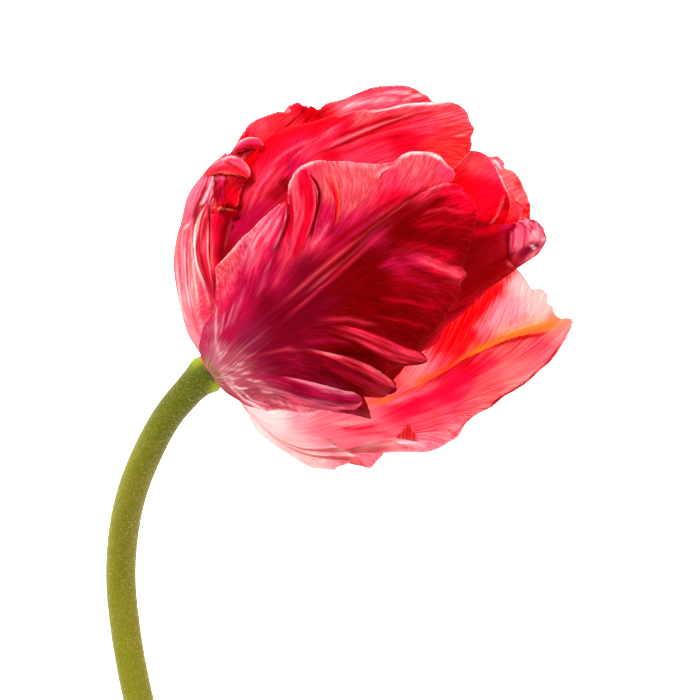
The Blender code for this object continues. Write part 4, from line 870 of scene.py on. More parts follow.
# How many rows of the stem are the receptacle's own, how round the stem is, and its shades of green:
# lime where the receptacle flares, and painted shade on one side and near the flower.
RECEPTACLE_ROWS = 7
STEM_ROUNDNESS = 10
WELD = 0.0001
FLARE_FROM = 3.0
FLARE_OVER = 3.5
FLARE_SIDE_FROM = 0.3
FLARE_SIDE_OVER = 0.5
SHADED_SIDE_FROM = 0.6
SHADED_SIDE_OVER = 1.2
SHADE_FROM = 2.0
SHADE_OVER = 34.0
SHADE_DEPTH = 0.8

# The stem's skin and down: noises as (scale, detail), the spans in use, and bumps as (strength, depth).
STEM_GRAIN = (1700.0, 2.0)
STEM_GRAIN_SPAN = (0.5, 0.64)
STEM_PATCHES = (260.0, 3.0)
STEM_PATCH_SPAN = (0.3, 0.65, 0.05, 0.3)
STEM_ROUGHNESS = 0.6
STEM_BUMP = (0.5, 0.0002)
STEM_SHINE = 0.08
SHEEN = 0.06
SHEEN_ROUGHNESS = 0.4
SHEEN_LIME = (0.8, 0.9, 0.25, 1.0)
DOWN_TILT = 1.1
LEAST_UPWARD = -0.6
LEAST_HAIR = 0.5
HAIR_SIDES = 3
DOWN_CLOUD = 300.0
DOWN_LIGHTENING = 1.5
DOWN_ROUGHNESS = 0.7

# The pistil: its body, its three lobes and its frilled stigma.
PISTIL_LENGTH = 27.0
PISTIL_START = 2.1
PISTIL_ENDS = (0.04, 0.96)
PISTIL_RADIUS = 3.1
PISTIL_TAPER = 0.22
PISTIL_BLUNTNESS = 8
PISTIL_SIDES = 3
OVARY_LOBES = 0.10
STIGMA_AT = 0.9
STIGMA_SPREAD = 0.07
STIGMA_FLARE = 0.41
STIGMA_LOBES = 0.34
STIGMA_FRILLS = 24
STIGMA_SPAN = (0.76, 0.84)

# The stamens: rows of (distance along the axis, distance from it, radius) for a filament and its anther.
STAMEN_COUNT = 6
STAMEN_TURN = math.radians(30.0)
STAMEN_STEPS = 6
ANTHER_SPAN = (0.46, 0.54)
ANTHER_OVER = 0.06
ANTHER_GROOVES = 4
STAMEN_LINE = [
    (2, 3.3, 0.7), (5, 5.4, 0.95), (10, 7.2, 0.8), (14.5, 8.2, 0.55), (15.5, 8.5, 1.5), (18, 9, 1.7),
    (23, 9.8, 1.6), (27, 10.4, 1.3), (28.4, 10.6, 0.5),
]

# The skins of the pistil and stamens, with noises, spans and bumps as for the stem.
PISTIL_GREEN = (0.26, 0.33, 0.08)
STIGMA_CREAM = (0.72, 0.66, 0.3)
FILAMENT_PLUM = (0.12, 0.03, 0.09)
ANTHER_DARK = (0.03, 0.012, 0.03)
POLLEN = (0.3, 0.2, 0.14)
HEART_GRAIN = (3000.0, 3.0)
HEART_GRAIN_SPAN = (0.5, 0.68)
HEART_PATCHES = (500.0, 2.0)
HEART_PATCH_SPAN = (0.35, 0.65)
HEART_ROUGHNESS = 0.6
HEART_BUMP = (0.6, 0.0002)

# The stage, in metres: the table's two whites, the lights, and the camera above.
WHITE = (1.0, 1.0, 1.0)
TABLE_PALE = (0.86, 0.86, 0.86)
TABLE_PALER = (0.9, 0.9, 0.9)
TABLE_CLOUD = 6.0
TABLE_ROUGHNESS = 0.7
LIGHT_AIM = (0.0, 0.045, 0.03)
KEY_PLACE = (-0.45, 0.65, 1.1)
KEY_SIZE = 0.4
KEY_COLOUR = (1.0, 0.98, 0.96)
FILL_PLACE = (0.7, -0.45, 1.0)
FILL_SIZE = 0.9
VIEW_X = 0.0024
VIEW_Y = 0.0342
VIEW_HEIGHT = 0.033
CLIP_START = 0.05
CLIP_END = 20.0


def linear(screen):
    """The scene's linear colour for a screen colour."""
    share = np.array(screen) / 255.0
    return np.where(share <= 0.04, share / 12.92, ((share + 0.055) / 1.055) ** 2.4)


def smoothstep(value):
    value = np.clip(value, 0.0, 1.0)
    return value * value * (3.0 - 2.0 * value)


def running(steps):
    """The running total of the steps, from zero."""
    return np.concatenate([[0.0], np.cumsum(steps)])


def soft_noise(seed, x, y):
    """Smooth noise from -1 to 1, one bump to each unit of x and y."""
    values = np.random.default_rng(seed).uniform(-1.0, 1.0, (NOISE_SIZE, NOISE_SIZE))
    column = np.floor(x).astype(int)
    row = np.floor(y).astype(int)
    f = smoothstep(x - column)
    g = smoothstep(y - row)
    column, row = column % NOISE_SIZE, row % NOISE_SIZE
    next_column, next_row = (column + 1) % NOISE_SIZE, (row + 1) % NOISE_SIZE
    low = values[column, row] * (1 - f) + values[next_column, row] * f
    high = values[column, next_row] * (1 - f) + values[next_column, next_row] * f
    return low * (1 - g) + high * g


def layered_noise(layers, tepal, rib, t):
    """The sum of layers of the tepal's own noise, at these ribs and this far along them."""
    seed = sum(ord(letter) for letter in tepal.node)
    noise = np.zeros(rib.shape)
    for share, step, width, bumps in layers:
        noise += share * soft_noise(seed + step, rib / width, t * bumps)
    return noise


def smooth_path(points, steps):
    """One smooth line through the points; steps is how many lead to the next point, for all gaps or each."""
    points = np.array(points, float)
    gaps = np.linalg.norm(np.diff(points, axis=0), axis=1)
    slopes = np.gradient(points, running(gaps), axis=0)
    counts = np.broadcast_to(steps, len(gaps))
    out = []
    for i, width in enumerate(gaps):
        for k in range(counts[i]):
            f = k / counts[i]
            a = 2 * f**3 - 3 * f**2 + 1
            b = f**3 - 2 * f**2 + f
            c = -2 * f**3 + 3 * f**2
            d = f**3 - f**2
            out.append(a * points[i] + b * width * slopes[i] + c * points[i + 1] + d * width * slopes[i + 1])
    out.append(points[-1])
    return np.array(out)


class Cup:
    """A meridian turned round the flower's axis, with its middle swaying to one side along the way."""

    def __init__(self, meridian, sway):
        line = smooth_path(meridian, CUP_SMOOTHING)
        self.length = meridian[0][1] + running(np.linalg.norm(np.diff(line, axis=0), axis=1))
        self.along = line[:, 0]
        self.radius = line[:, 1]
        sway_line = smooth_path(sway, CUP_SMOOTHING)
        self.sway = np.interp(self.along, sway_line[:, 0], sway_line[:, 1])

    def bare(self, length, angle):
        """The point on the cup that is this far out along its meridian, at this angle from the top."""
        along = np.interp(length, self.length, self.along)
        radius = np.interp(length, self.length, self.radius)
        sway = np.interp(length, self.length, self.sway)
        side = sway + radius * np.sin(angle)
        height = radius * np.cos(angle)
        return along[..., None] * ALONG + side[..., None] * ACROSS + height[..., None] * UP

    def normal(self, length, angle):
        """The direction out of the cup."""
        tangent = self.bare(length + NORMAL_STEP, angle) - self.bare(length - NORMAL_STEP, angle)
        turn = self.bare(length, angle + NORMAL_TURN) - self.bare(length, angle - NORMAL_TURN)
        out = np.cross(tangent, turn)
        out /= np.linalg.norm(out, axis=-1, keepdims=True)
        return out


CUPS = {"closed": Cup(CLOSED_MERIDIAN, CLOSED_SWAY), "open": Cup(OPEN_MERIDIAN, OPEN_SWAY)}


def layer_offset(layer, length):
    """How far off the cup a layer lies: the layers draw apart on the way up from the receptacle."""
    spread = smoothstep((length - WHORL_SPREAD_FROM) / WHORL_SPREAD_OVER)
    return layer * (WHORL_STEP + WHORL_SPREAD * spread)


def tepal_point(tepal, length, angle, lift):
    """A point of the tepal's sheet, lifted off its layer of the cup and resting on the surface below."""
    cup = CUPS[tepal.cup]
    offset = layer_offset(tepal.layer, length) + lift
    point = cup.bare(length, angle) + offset[..., None] * cup.normal(length, angle)
    thickness = bpy.context.scene.tulip_tepals.thickness / MM
    lowest = -FLOWER_PLACE[2] + thickness / 2 + FLOOR_GAP
    press = (point[..., 2] - lowest) / FLOOR_SOFTNESS
    point[..., 2] = lowest + FLOOR_SOFTNESS * np.logaddexp(0.0, press)
    return point


def place_rim(tepal):
    """Turns rim rows into (length along the meridian, angle, lift), so that each lands on its own x and y."""
    cup = CUPS[tepal.cup]
    rows = np.array(tepal.rim, float)
    wanted = rows[:, :2]
    side = rows[:, 2]
    aim = wanted.copy()
    start = np.argmin(cup.along)
    limit = math.sin(STEEPEST)
    lift = rows[:, 3].copy()
    for _ in range(LANDING_TRIES):
        along = aim @ ALONG[:2]
        across = aim @ ACROSS[:2]
        length = np.interp(along, cup.along[start:], cup.length[start:])
        radius = np.interp(length, cup.length, cup.radius) + layer_offset(tepal.layer, length)
        reach = across - np.interp(length, cup.length, cup.sway)
        angle = np.arcsin(np.clip(reach / (radius + lift), -limit, limit))
        angle = np.where(side > 0, angle, math.pi - angle)
        over = np.clip(np.abs(reach) / limit - (radius + rows[:, 3]), 0.0, MOST_LIFT)
        lift = rows[:, 3] + over
        landed = tepal_point(tepal, length, angle, lift)[:, :2]
        aim = aim + LANDING_GAIN * (wanted - landed)
    given = side == 0
    length = np.where(given, rows[:, 0], length)
    angle = np.where(given, np.radians(rows[:, 1]), angle)
    lift = np.where(given, rows[:, 3], lift)
    middle = math.radians((tepal.base_from + tepal.base_to) / 2)
    angle = middle + (angle - middle + math.pi) % (2 * math.pi) - math.pi
    return np.stack([length, angle, lift], axis=1)


def distance_to(line, x, y):
    """Signed distance to a line, positive on its left, a fade at the line's ends, and the way to its left."""
    line = np.array(line, float)
    best = np.full(x.shape, FAR)
    signed = np.full(x.shape, FAR)
    along = np.zeros(x.shape)
    left = np.zeros(x.shape + (3,))
    walked = 0.0
    for start, end in zip(line[:-1], line[1:]):
        step = end - start
        size = math.hypot(*step)
        share = np.clip(((x - start[0]) * step[0] + (y - start[1]) * step[1]) / size**2, 0.0, 1.0)
        away_x = x - start[0] - share * step[0]
        away_y = y - start[1] - share * step[1]
        distance = np.hypot(away_x, away_y)
        side = np.where(step[0] * away_y - step[1] * away_x >= 0, 1.0, -1.0)
        closer = distance < best
        best = np.where(closer, distance, best)
        signed = np.where(closer, side * distance, signed)
        along = np.where(closer, walked + share * size, along)
        left = np.where(closer[..., None], np.array([-step[1], step[0], 0.0]) / size, left)
        walked += size
    ends = smoothstep(along / (walked * END_FADE)) * smoothstep((walked - along) / (walked * END_FADE))
    return signed, ends, left


def relief(tepal, x, y, rib, t):
    """How far each point stands off the smooth sheet, and how far the folds pull it sideways."""
    settings = bpy.context.scene.tulip_tepals
    rise = np.zeros(x.shape)
    slide = np.zeros(x.shape + (3,))
    for over, under, reach, line in tepal.folds:
        away, ends, left = distance_to(line, x, y)
        fall = np.exp(-np.abs(away) / reach)
        edge = smoothstep(away / FOLD_EDGE / 2 + 0.5)
        rise += ends * fall * (over * edge - under * (1 - edge))
        pull = (over + under) / 2 * np.clip(away / FOLD_EDGE, -1.0, 1.0) * np.exp(-np.abs(away) / FOLD_GRIP)
        slide -= (ends * pull)[..., None] * left
    for height, width, line in tepal.ridges:
        away, ends, _ = distance_to(line, x, y)
        rise += height * ends * np.exp(-((away / width) ** 2))
    rise += settings.pleat / MM * layered_noise(PLEATS, tepal, rib, t) * smoothstep(t / PLEAT_RISE)
    rise += settings.ruffle / MM * layered_noise(RUFFLES, tepal, rib, t) * t**RUFFLE_POWER
    return rise, slide


def lay_strokes(strokes, points, colour, broken):
    """Lays broken strokes along their lines; a colour's fourth value is how far strokes cover it."""
    for name, strength, width, *lines in strokes:
        for line in lines:
            away, ends, _ = distance_to(line, points[..., 0], points[..., 1])
            share = strength * broken * ends * np.exp(-((away / width) ** 2))
            colour = colour + share[..., None] * (np.array(PAINTS[name] + (1.0,)) - colour)
    return colour


def paint(tepal, points, feathered, broken=1.0):
    """Blends the tepal's tints by nearness at the feathered points, and lays its broken strokes over them."""
    x, y = feathered[..., 0], feathered[..., 1]
    total = np.full(x.shape, SMALL)
    colour = np.zeros(x.shape + (4,))
    for name, places in tepal.tints.items():
        for at_x, at_y, reach in places:
            weight = np.exp(-TINT_FALL * np.hypot(x - at_x, y - at_y) / reach)
            total += weight
            colour += weight[..., None] * np.array(PAINTS[name] + (0.0,))
    return lay_strokes(tepal.strokes, points, colour / total[..., None], broken)


def torn_rim(tepal):
    """The tepal's rim as close rows of (length, angle, lift), torn at its edge, and the walk along it."""
    settings = bpy.context.scene.tulip_tepals
    rows = place_rim(tepal)
    gaps = np.linalg.norm(np.diff(rows * RIM_WEIGHTS, axis=0), axis=1)
    given = np.array(tepal.rim)[:, 2] == 0
    hidden = given[1:] & given[:-1]
    gap = settings.rib_gap / MM / tepal.detail * np.where(hidden, HIDDEN_GAP, 1.0)
    steps = np.maximum(1, np.round(gaps / gap).astype(int))
    rim = smooth_path(rows * RIM_WEIGHTS, steps) / RIM_WEIGHTS
    radius = np.interp(rim[:, 0], CUPS[tepal.cup].length, CUPS[tepal.cup].radius)
    walked = running(np.hypot(np.diff(rim[:, 0]), np.diff(rim[:, 1]) * (radius[1:] + radius[:-1]) / 2))
    rim[:, 0] += settings.ragged / MM * layered_noise(TORN_EDGE, tepal, walked, np.zeros(walked.shape))
    return rim, walked


def sheet_colour(tepal, smooth, rib, t):
    """The tepal's paints, feathered and broken along its ribs, with pale fibres at its base."""
    down_rib = np.gradient(smooth, axis=1)
    down_rib /= np.linalg.norm(down_rib, axis=-1, keepdims=True) + SMALL
    feather = layered_noise(FEATHERS, tepal, rib, t)
    feathered = smooth + feather[..., None] * down_rib * smoothstep(t / FEATHER_RISE)[..., None]
    broken = np.clip(STROKE_COVER + layered_noise(STROKE_BREAKS, tepal, rib, t), LEAST_COVER, 1.0)
    colour = paint(tepal, smooth, feathered, broken)
    fibres = FIBRE_SHARE * smoothstep(layered_noise(FIBRES, tepal, rib, t) / FIBRE_SPREAD)
    share = fibres * (1.0 - smoothstep((t - FIBRE_FROM) / FIBRE_OVER))
    return colour + share[..., None] * (np.array(PAINTS["shell"] + (0.0,)) - colour)


def vein_fan(tepal, smooth, walked, rib, t):
    """How far the veins lean away from the tepal's midrib; nothing for a tepal whose midrib isn't given."""
    if tepal.node not in MIDRIBS:
        return np.zeros(rib.shape)
    edge = smooth[:, -1, :2]
    middle = walked[np.argmin(np.hypot(*(edge - MIDRIBS[tepal.node]).T))]
    run = np.linalg.norm(smooth[:, -1] - smooth[:, 0], axis=-1)[:, None]
    spread = FAN_REACH * run / run.max() * np.tanh((rib - middle) / FAN_SPREAD)
    return -spread * np.log(FAN_START + (1.0 - FAN_START) * t)


def tepal_sheet(tepal):
    """Lays the tepal out as ribs that fan from its base to its rim: points, colours and UVs."""
    settings = bpy.context.scene.tulip_tepals
    rim, walked = torn_rim(tepal)
    base_length = np.full(len(rim), BASE_RADIUS)
    base_angle = np.radians(tepal.base_from + walked / walked[-1] * (tepal.base_to - tepal.base_from))
    bend_length = base_length + RIB_REACH * (rim[:, 0] - base_length)
    bend_angle = base_angle + RIB_TURN * (rim[:, 1] - base_angle)
    u = np.linspace(0.0, 1.0, round(settings.stations * tepal.detail))[None, :]
    t = 1.0 - (1.0 - u) ** RIB_CROWDING
    start, middle, end = (1 - t) ** 2, 2 * t * (1 - t), t**2
    length = start * base_length[:, None] + middle * bend_length[:, None] + end * rim[:, 0][:, None]
    angle = start * base_angle[:, None] + middle * bend_angle[:, None] + end * rim[:, 1][:, None]
    lift = rim[:, 2][:, None] * t**LIFT_POWER
    smooth = tepal_point(tepal, length, angle, lift)
    t = np.broadcast_to(t, length.shape)
    rib = np.broadcast_to(walked[:, None], length.shape)
    rise, slide = relief(tepal, smooth[..., 0], smooth[..., 1], rib, t)
    points = tepal_point(tepal, length, angle, lift + rise) + slide
    fan = vein_fan(tepal, smooth, walked, rib, t)
    uv = np.stack([(rib + fan) * UV_ACROSS, t * UV_ALONG], axis=-1)
    return points, sheet_colour(tepal, smooth, rib, t), uv


def point_values(mesh, name):
    """Three values of each point of a mesh, such as its place or its normal."""
    values = np.empty(len(mesh.vertices) * 3)
    mesh.vertices.foreach_get(name, values)
    return values.reshape(-1, 3)


def new_object(name, data):
    """An object of this data, linked into the scene."""
    obj = bpy.data.objects.new(name, data)
    bpy.context.scene.collection.objects.link(obj)
    return obj


def make_object(name, mesh):
    """Moves a mesh from the flower's millimetres to the part's frame in metres, and makes its object."""
    points = (point_values(mesh, "co") + FLOWER_PLACE) * MM
    mesh.vertices.foreach_set("co", points.ravel())
    mesh.update()
    return new_object(name, mesh)


def plain_mesh(source):
    """The plain mesh that an object comes to; the object itself is removed."""
    bpy.context.view_layer.update()
    graph = bpy.context.evaluated_depsgraph_get()
    mesh = bpy.data.meshes.new_from_object(source.evaluated_get(graph))
    bpy.data.objects.remove(source)
    return mesh


def tree_of(points):
    """A tree for finding the nearest of these points."""
    tree = KDTree(len(points))
    for number, point in enumerate(points):
        tree.insert(point, number)
    tree.balance()
    return tree


def nearness(points, edge):
    """The distance from each point to the nearest point of an edge."""
    tree = tree_of(edge)
    return np.array([tree.find(point)[2] for point in points.reshape(-1, 3)])


def ground_under(place, top):
    """The tepal's height under each place, from the few points of the tepal that are nearest to it."""
    tree = tree_of(top * (1.0 - UP))
    ground = np.zeros(place.shape[:2])
    for index in np.ndindex(ground.shape):
        near = tree.find_n((place[index][0], place[index][1], 0.0), GROUND_POINTS)
        weights = np.array([1.0 / (distance + GROUND_SOFTNESS) for _, _, distance in near])
        ground[index] = np.average([top[which][2] for _, which, _ in near], weights=weights)
    return ground


def lobe_sheet(tepal, lobe, sheet, number):
    """A lobe standing off its tepal: its points, colours and UVs, and a rim distance past the painted rim
    highlight.
    """
    rows = smooth_path(lobe.rows, LOBE_STEPS)
    heading = np.gradient(rows[:, :2], axis=0)
    heading /= np.linalg.norm(heading, axis=1, keepdims=True)
    left = np.stack([-heading[:, 1], heading[:, 0]], axis=1)
    across = np.linspace(1.0, -1.0, LOBE_COLUMNS)[None, :]
    reach = np.where(across > 0, across * rows[:, 2:3], across * rows[:, 3:4])
    place = rows[:, None, :2] + reach[..., None] * left[:, None, :]
    width = (rows[:, 2:3] + rows[:, 3:4]) / (rows[:, 2] + rows[:, 3]).max()
    crown = lobe.crown * (1.0 - across**2) * width
    height = ground_under(place, sheet.reshape(-1, 3)) + rows[:, 4:5] + crown
    points = np.concatenate([place, height[..., None]], axis=-1)
    walked = running(np.linalg.norm(np.diff(rows[:, :2], axis=0), axis=1))[:, None]
    walked = np.broadcast_to(walked, reach.shape)
    noise_x = reach / LOBE_WANDER_WIDTH + LOBE_WANDER_SHIFT
    wander = across + LOBE_WANDER * soft_noise(LOBE_SEED + number, noise_x, walked / LOBE_WANDER_LENGTH)
    stops = np.linspace(1.0, -1.0, len(lobe.paints))[::-1]
    paints = np.array([PAINTS[name] for name in reversed(lobe.paints)])
    mixed = [np.interp(wander, stops, paints[:, channel]) for channel in range(3)]
    mixed.append(np.zeros(reach.shape))
    colour = lay_strokes(lobe.strokes, points, np.stack(mixed, axis=-1), 1.0)
    share = smoothstep(walked / (LOBE_BLEND * walked[-1]))[..., None]
    colour = share * colour + (1 - share) * paint(tepal, points, points)
    uv = np.stack([reach * UV_ACROSS + LOBE_UV_FROM + LOBE_UV_STEP * number, walked * UV_ACROSS], axis=-1)
    return points, colour, uv, np.full(reach.size, NO_RIM_HIGHLIGHT)


def upper_side(tepal, points):
    """The part of the sheet that faces up, where lobes stand; an open tepal's lobes stand on all of it."""
    if tepal.cup == "open":
        return points
    return points[points[..., 2] > UPPER_FROM]


def keep_colour(mesh, name, colour):
    """Keeps a colour on the mesh's points."""
    data = mesh.attributes.new(name, "FLOAT_COLOR", "POINT").data
    data.foreach_set("color", np.concatenate([colour, np.ones((len(colour), 1))], axis=1).ravel())


def keep_value(mesh, name, values):
    """Keeps a value on the mesh's points."""
    mesh.attributes.new(name, "FLOAT", "POINT").data.foreach_set("value", values)


def keep_skin(mesh, colour, rim):
    """Keeps what a petal's skin reads: dark and bright colours, rim distance and how far its veins show."""
    free = 1.0 - STROKE_GRIP * colour[:, 3:]
    veining = np.clip(colour[:, 1] / FULL_VEIN_GREEN, LEAST_VEINING, 1.0) * free[:, 0]
    colour = linear(colour[:, :3])
    green = colour[:, 1:2]
    share = np.clip(STREAK_GAIN * green, 0.0, MOST_STREAK) * free
    lit = np.minimum((1.0 + free * (BRIGHTENING - 1.0)) * colour, 1.0)
    paleness = np.clip(green / PALE_GREEN, 0.0, 1.0)
    deepening = DEEPENING + paleness * (PALE_DEEPENING - DEEPENING)
    keep_colour(mesh, "dark", colour * (1.0 + free * (deepening - 1.0)))
    keep_colour(mesh, "bright", lit + share * np.maximum(linear(PAINTS["shell"]) - lit, 0.0))
    # Dark paints are kept far from the rim, so the painted rim highlight leaves them.
    keep_value(mesh, "rim", rim + RIM_FADE * (1.0 - np.clip(green[:, 0] / RIM_GREEN, 0.0, 1.0)))
    keep_value(mesh, "veining", veining)


def keep_veins(mesh, uv):
    """Keeps the map that the veins are laid out on."""
    loops = np.empty(len(mesh.loops), int)
    mesh.loops.foreach_get("vertex_index", loops)
    mesh.uv_layers.new(name="veins").data.foreach_set("uv", uv[loops].ravel())


def grid_faces(points, start):
    """The faces of a grid of points whose first point has this number."""
    rows, columns = points.shape[:2]
    index = start + np.arange(rows * columns).reshape(rows, columns)
    corners = [index[:-1, :-1], index[1:, :-1], index[1:, 1:], index[:-1, 1:]]
    return np.stack(corners, axis=-1).reshape(-1, 4).tolist()


def joined(patches, place, size):
    """One kind of value, such as the points, of all the patches in one list of rows."""
    return np.concatenate([patch[place].reshape(-1, size) for patch in patches])


def make_tepal(tepal):
    """Makes one tepal and its lobes: fine grids with colour and rim distance on their points, thickened."""
    settings = bpy.context.scene.tulip_tepals
    points, colour, uv = tepal_sheet(tepal)
    rim = nearness(points, np.concatenate([points[0], points[-1], points[1:-1, -1]]))
    patches = [(points, colour, uv, rim)]
    for number, lobe in enumerate(LOBES.get(tepal.node, [])):
        patches.append(lobe_sheet(tepal, lobe, upper_side(tepal, points), number))
    faces = []
    start = 0
    for patch in patches:
        faces += grid_faces(patch[0], start)
        start += patch[3].size
    mesh = bpy.data.meshes.new(tepal.node)
    mesh.from_pydata(joined(patches, 0, 3).tolist(), [], faces)
    keep_skin(mesh, joined(patches, 1, 4), joined(patches, 3, 1)[:, 0])
    keep_veins(mesh, joined(patches, 2, 2))
    mesh.shade_smooth()
    obj = make_object(tepal.node.replace("tepal_", "petal_"), mesh)
    thick = obj.modifiers.new("thickness", "SOLIDIFY")
    thick.thickness = settings.thickness
    thick.offset = 0.0
    obj.data.materials.append(petal_material(tepal.node + "_skin", tepal.mottle, tepal.veins))
    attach(obj, "root")
    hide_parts(tepal.node)
    return obj


def new_skin(name):
    """A new material, and its tree with nothing in it."""
    material = bpy.data.materials.new(name)
    material.use_nodes = True
    material.node_tree.nodes.clear()
    return material, material.node_tree


def show(tree, surface):
    """Makes this shader what the material shows."""
    out = tree.nodes.new("ShaderNodeOutputMaterial")
    tree.links.new(surface, out.inputs["Surface"])


def add(tree, kind, **inputs):
    """A new node with the given input values; spaces in input names are written as underscores."""
    node = tree.nodes.new(kind)
    for name, value in inputs.items():
        node.inputs[name.replace("_", " ")].default_value = value
    return node


def kept(tree, name, output="Fac"):
    """What the mesh's points keep under this name."""
    node = tree.nodes.new("ShaderNodeAttribute")
    node.attribute_name = name
    return node.outputs[output]


def object_place(tree):
    """The place of each point in the object's own frame."""
    return tree.nodes.new("ShaderNodeTexCoord").outputs["Object"]


def noise_at(tree, vector, scale, detail=2.0):
    """A noise texture on the given vector, as a value around a half."""
    node = add(tree, "ShaderNodeTexNoise", Scale=scale, Detail=detail, Roughness=NOISE_ROUGHNESS)
    tree.links.new(vector, node.inputs["Vector"])
    return node.outputs["Fac"]


def raise_by(tree, shader, height, strength, depth):
    """Raises a shader's surface by a height, as bumps of this strength and depth."""
    bump = add(tree, "ShaderNodeBump", Strength=strength, Distance=depth)
    tree.links.new(height, bump.inputs["Height"])
    tree.links.new(bump.outputs["Normal"], shader.inputs["Normal"])


def remap(tree, value, low, high, to_low=0.0, to_high=1.0):
    """A value moved from one range to another and held inside it."""
    node = add(tree, "ShaderNodeMapRange", From_Min=low, From_Max=high, To_Min=to_low, To_Max=to_high)
    tree.links.new(value, node.inputs["Value"])
    return node.outputs["Result"]


def math_node(tree, operation, first, second):
    """A sum on two values, each a socket or a number."""
    node = tree.nodes.new("ShaderNodeMath")
    node.operation = operation
    for socket, value in zip(node.inputs, (first, second)):
        if isinstance(value, (int, float)):
            socket.default_value = value
        else:
            tree.links.new(value, socket)
    return node.outputs[0]


def mix_colour(tree, share, first, second):
    """One colour laid over another; each may be a socket or a plain colour."""
    node = tree.nodes.new("ShaderNodeMix")
    node.data_type = "RGBA"
    for name, value in (("Factor_Float", share), ("A_Color", first), ("B_Color", second)):
        socket = next(s for s in node.inputs if s.identifier == name)
        if isinstance(value, (tuple, list)):
            socket.default_value = tuple(value) + (1.0,) * (4 - len(value))
        else:
            tree.links.new(value, socket)
    return next(s for s in node.outputs if s.identifier == "Result_Color")


def petal_material(name, mottle, veins):
    """A tepal's skin: painted tint broken into streaks and veins, a painted rim highlight, and lit through.
    """
    settings = bpy.context.scene.tulip_tepals
    material, tree = new_skin(name)
    link = tree.links.new
    uv = tree.nodes.new("ShaderNodeUVMap")
    uv.uv_map = "veins"
    streaks = add(tree, "ShaderNodeMapping", Scale=STREAK_STRETCH)
    lines = add(tree, "ShaderNodeMapping", Scale=VEIN_STRETCH)
    link(uv.outputs["UV"], streaks.inputs["Vector"])
    link(uv.outputs["UV"], lines.inputs["Vector"])
    broad = noise_at(tree, streaks.outputs["Vector"], 1.0, STREAK_DETAIL)
    fine = noise_at(tree, lines.outputs["Vector"], VEIN_SCALE, VEIN_DETAIL)
    streak = remap(tree, broad, *STREAK_SPAN, 0.5 - 0.5 * mottle, 0.5 + 0.5 * mottle)
    base = mix_colour(tree, streak, kept(tree, "dark", "Color"), kept(tree, "bright", "Color"))
    crossing = math_node(tree, "ABSOLUTE", math_node(tree, "SUBTRACT", fine, 0.5), 0.0)
    vein = remap(tree, crossing, 0.0, VEIN_WIDTH, 1.0, 0.0)
    vein_paint, vein_strength = veins
    share = math_node(tree, "MULTIPLY", vein, vein_strength)
    share = math_node(tree, "MULTIPLY", share, kept(tree, "veining"))
    base = mix_colour(tree, share, base, tuple(linear(PAINTS[vein_paint])))
    # Painted highlight: near the rim the tint turns towards the rim colour, where light would catch the edge.
    edge = remap(tree, kept(tree, "rim"), *RIM_HIGHLIGHT_SPAN, RIM_HIGHLIGHT_SHARE, 0.0)
    edge = math_node(tree, "MULTIPLY", edge, remap(tree, broad, *RIM_HIGHLIGHT_BREAKS))
    base = mix_colour(tree, edge, base, tuple(settings.rim_highlight_colour))
    shader = add(tree, "ShaderNodeBsdfPrincipled", Specular_IOR_Level=settings.gloss)
    link(base, shader.inputs["Base Color"])
    link(remap(tree, broad, *GLOSS_SPAN, *PETAL_ROUGHNESS), shader.inputs["Roughness"])
    height = math_node(tree, "SUBTRACT", broad, math_node(tree, "MULTIPLY", vein, VEIN_DEPTH))
    raise_by(tree, shader, height, *PETAL_BUMP)
    glow = tree.nodes.new("ShaderNodeBsdfTranslucent")
    link(base, glow.inputs["Color"])
    both = add(tree, "ShaderNodeMixShader", Fac=settings.glow)
    link(shader.outputs["BSDF"], both.inputs[1])
    link(glow.outputs["BSDF"], both.inputs[2])
    show(tree, both.outputs["Shader"])
    return material


def heart_material(name, low, high, dust, span):
    """A soft, dusty skin that turns from one colour to another over a span of its height."""
    material, tree = new_skin(name)
    place = object_place(tree)
    grain = noise_at(tree, place, *HEART_GRAIN)
    patches = noise_at(tree, place, *HEART_PATCHES)
    base = mix_colour(tree, remap(tree, kept(tree, "height"), *span), low, high)
    share = remap(tree, grain, *HEART_GRAIN_SPAN)
    share = math_node(tree, "MULTIPLY", share, remap(tree, patches, *HEART_PATCH_SPAN))
    base = mix_colour(tree, share, base, dust)
    shader = add(tree, "ShaderNodeBsdfPrincipled", Roughness=HEART_ROUGHNESS)
    tree.links.new(base, shader.inputs["Base Color"])
    raise_by(tree, shader, grain, *HEART_BUMP)
    show(tree, shader.outputs["BSDF"])
    return material


class HeartSettings(bpy.types.PropertyGroup):
    points: bpy.props.IntProperty(name="Points", description="Points round the pistil", default=72, min=12)
    rings: bpy.props.IntProperty(name="Rings", description="Rings along the pistil", default=70, min=8)
    frill: bpy.props.FloatProperty(name="Frill", description="Depth of the stigma's frill", default=0.05)
    groove: bpy.props.FloatProperty(name="Groove", description="Depth of an anther's grooves", default=0.16)


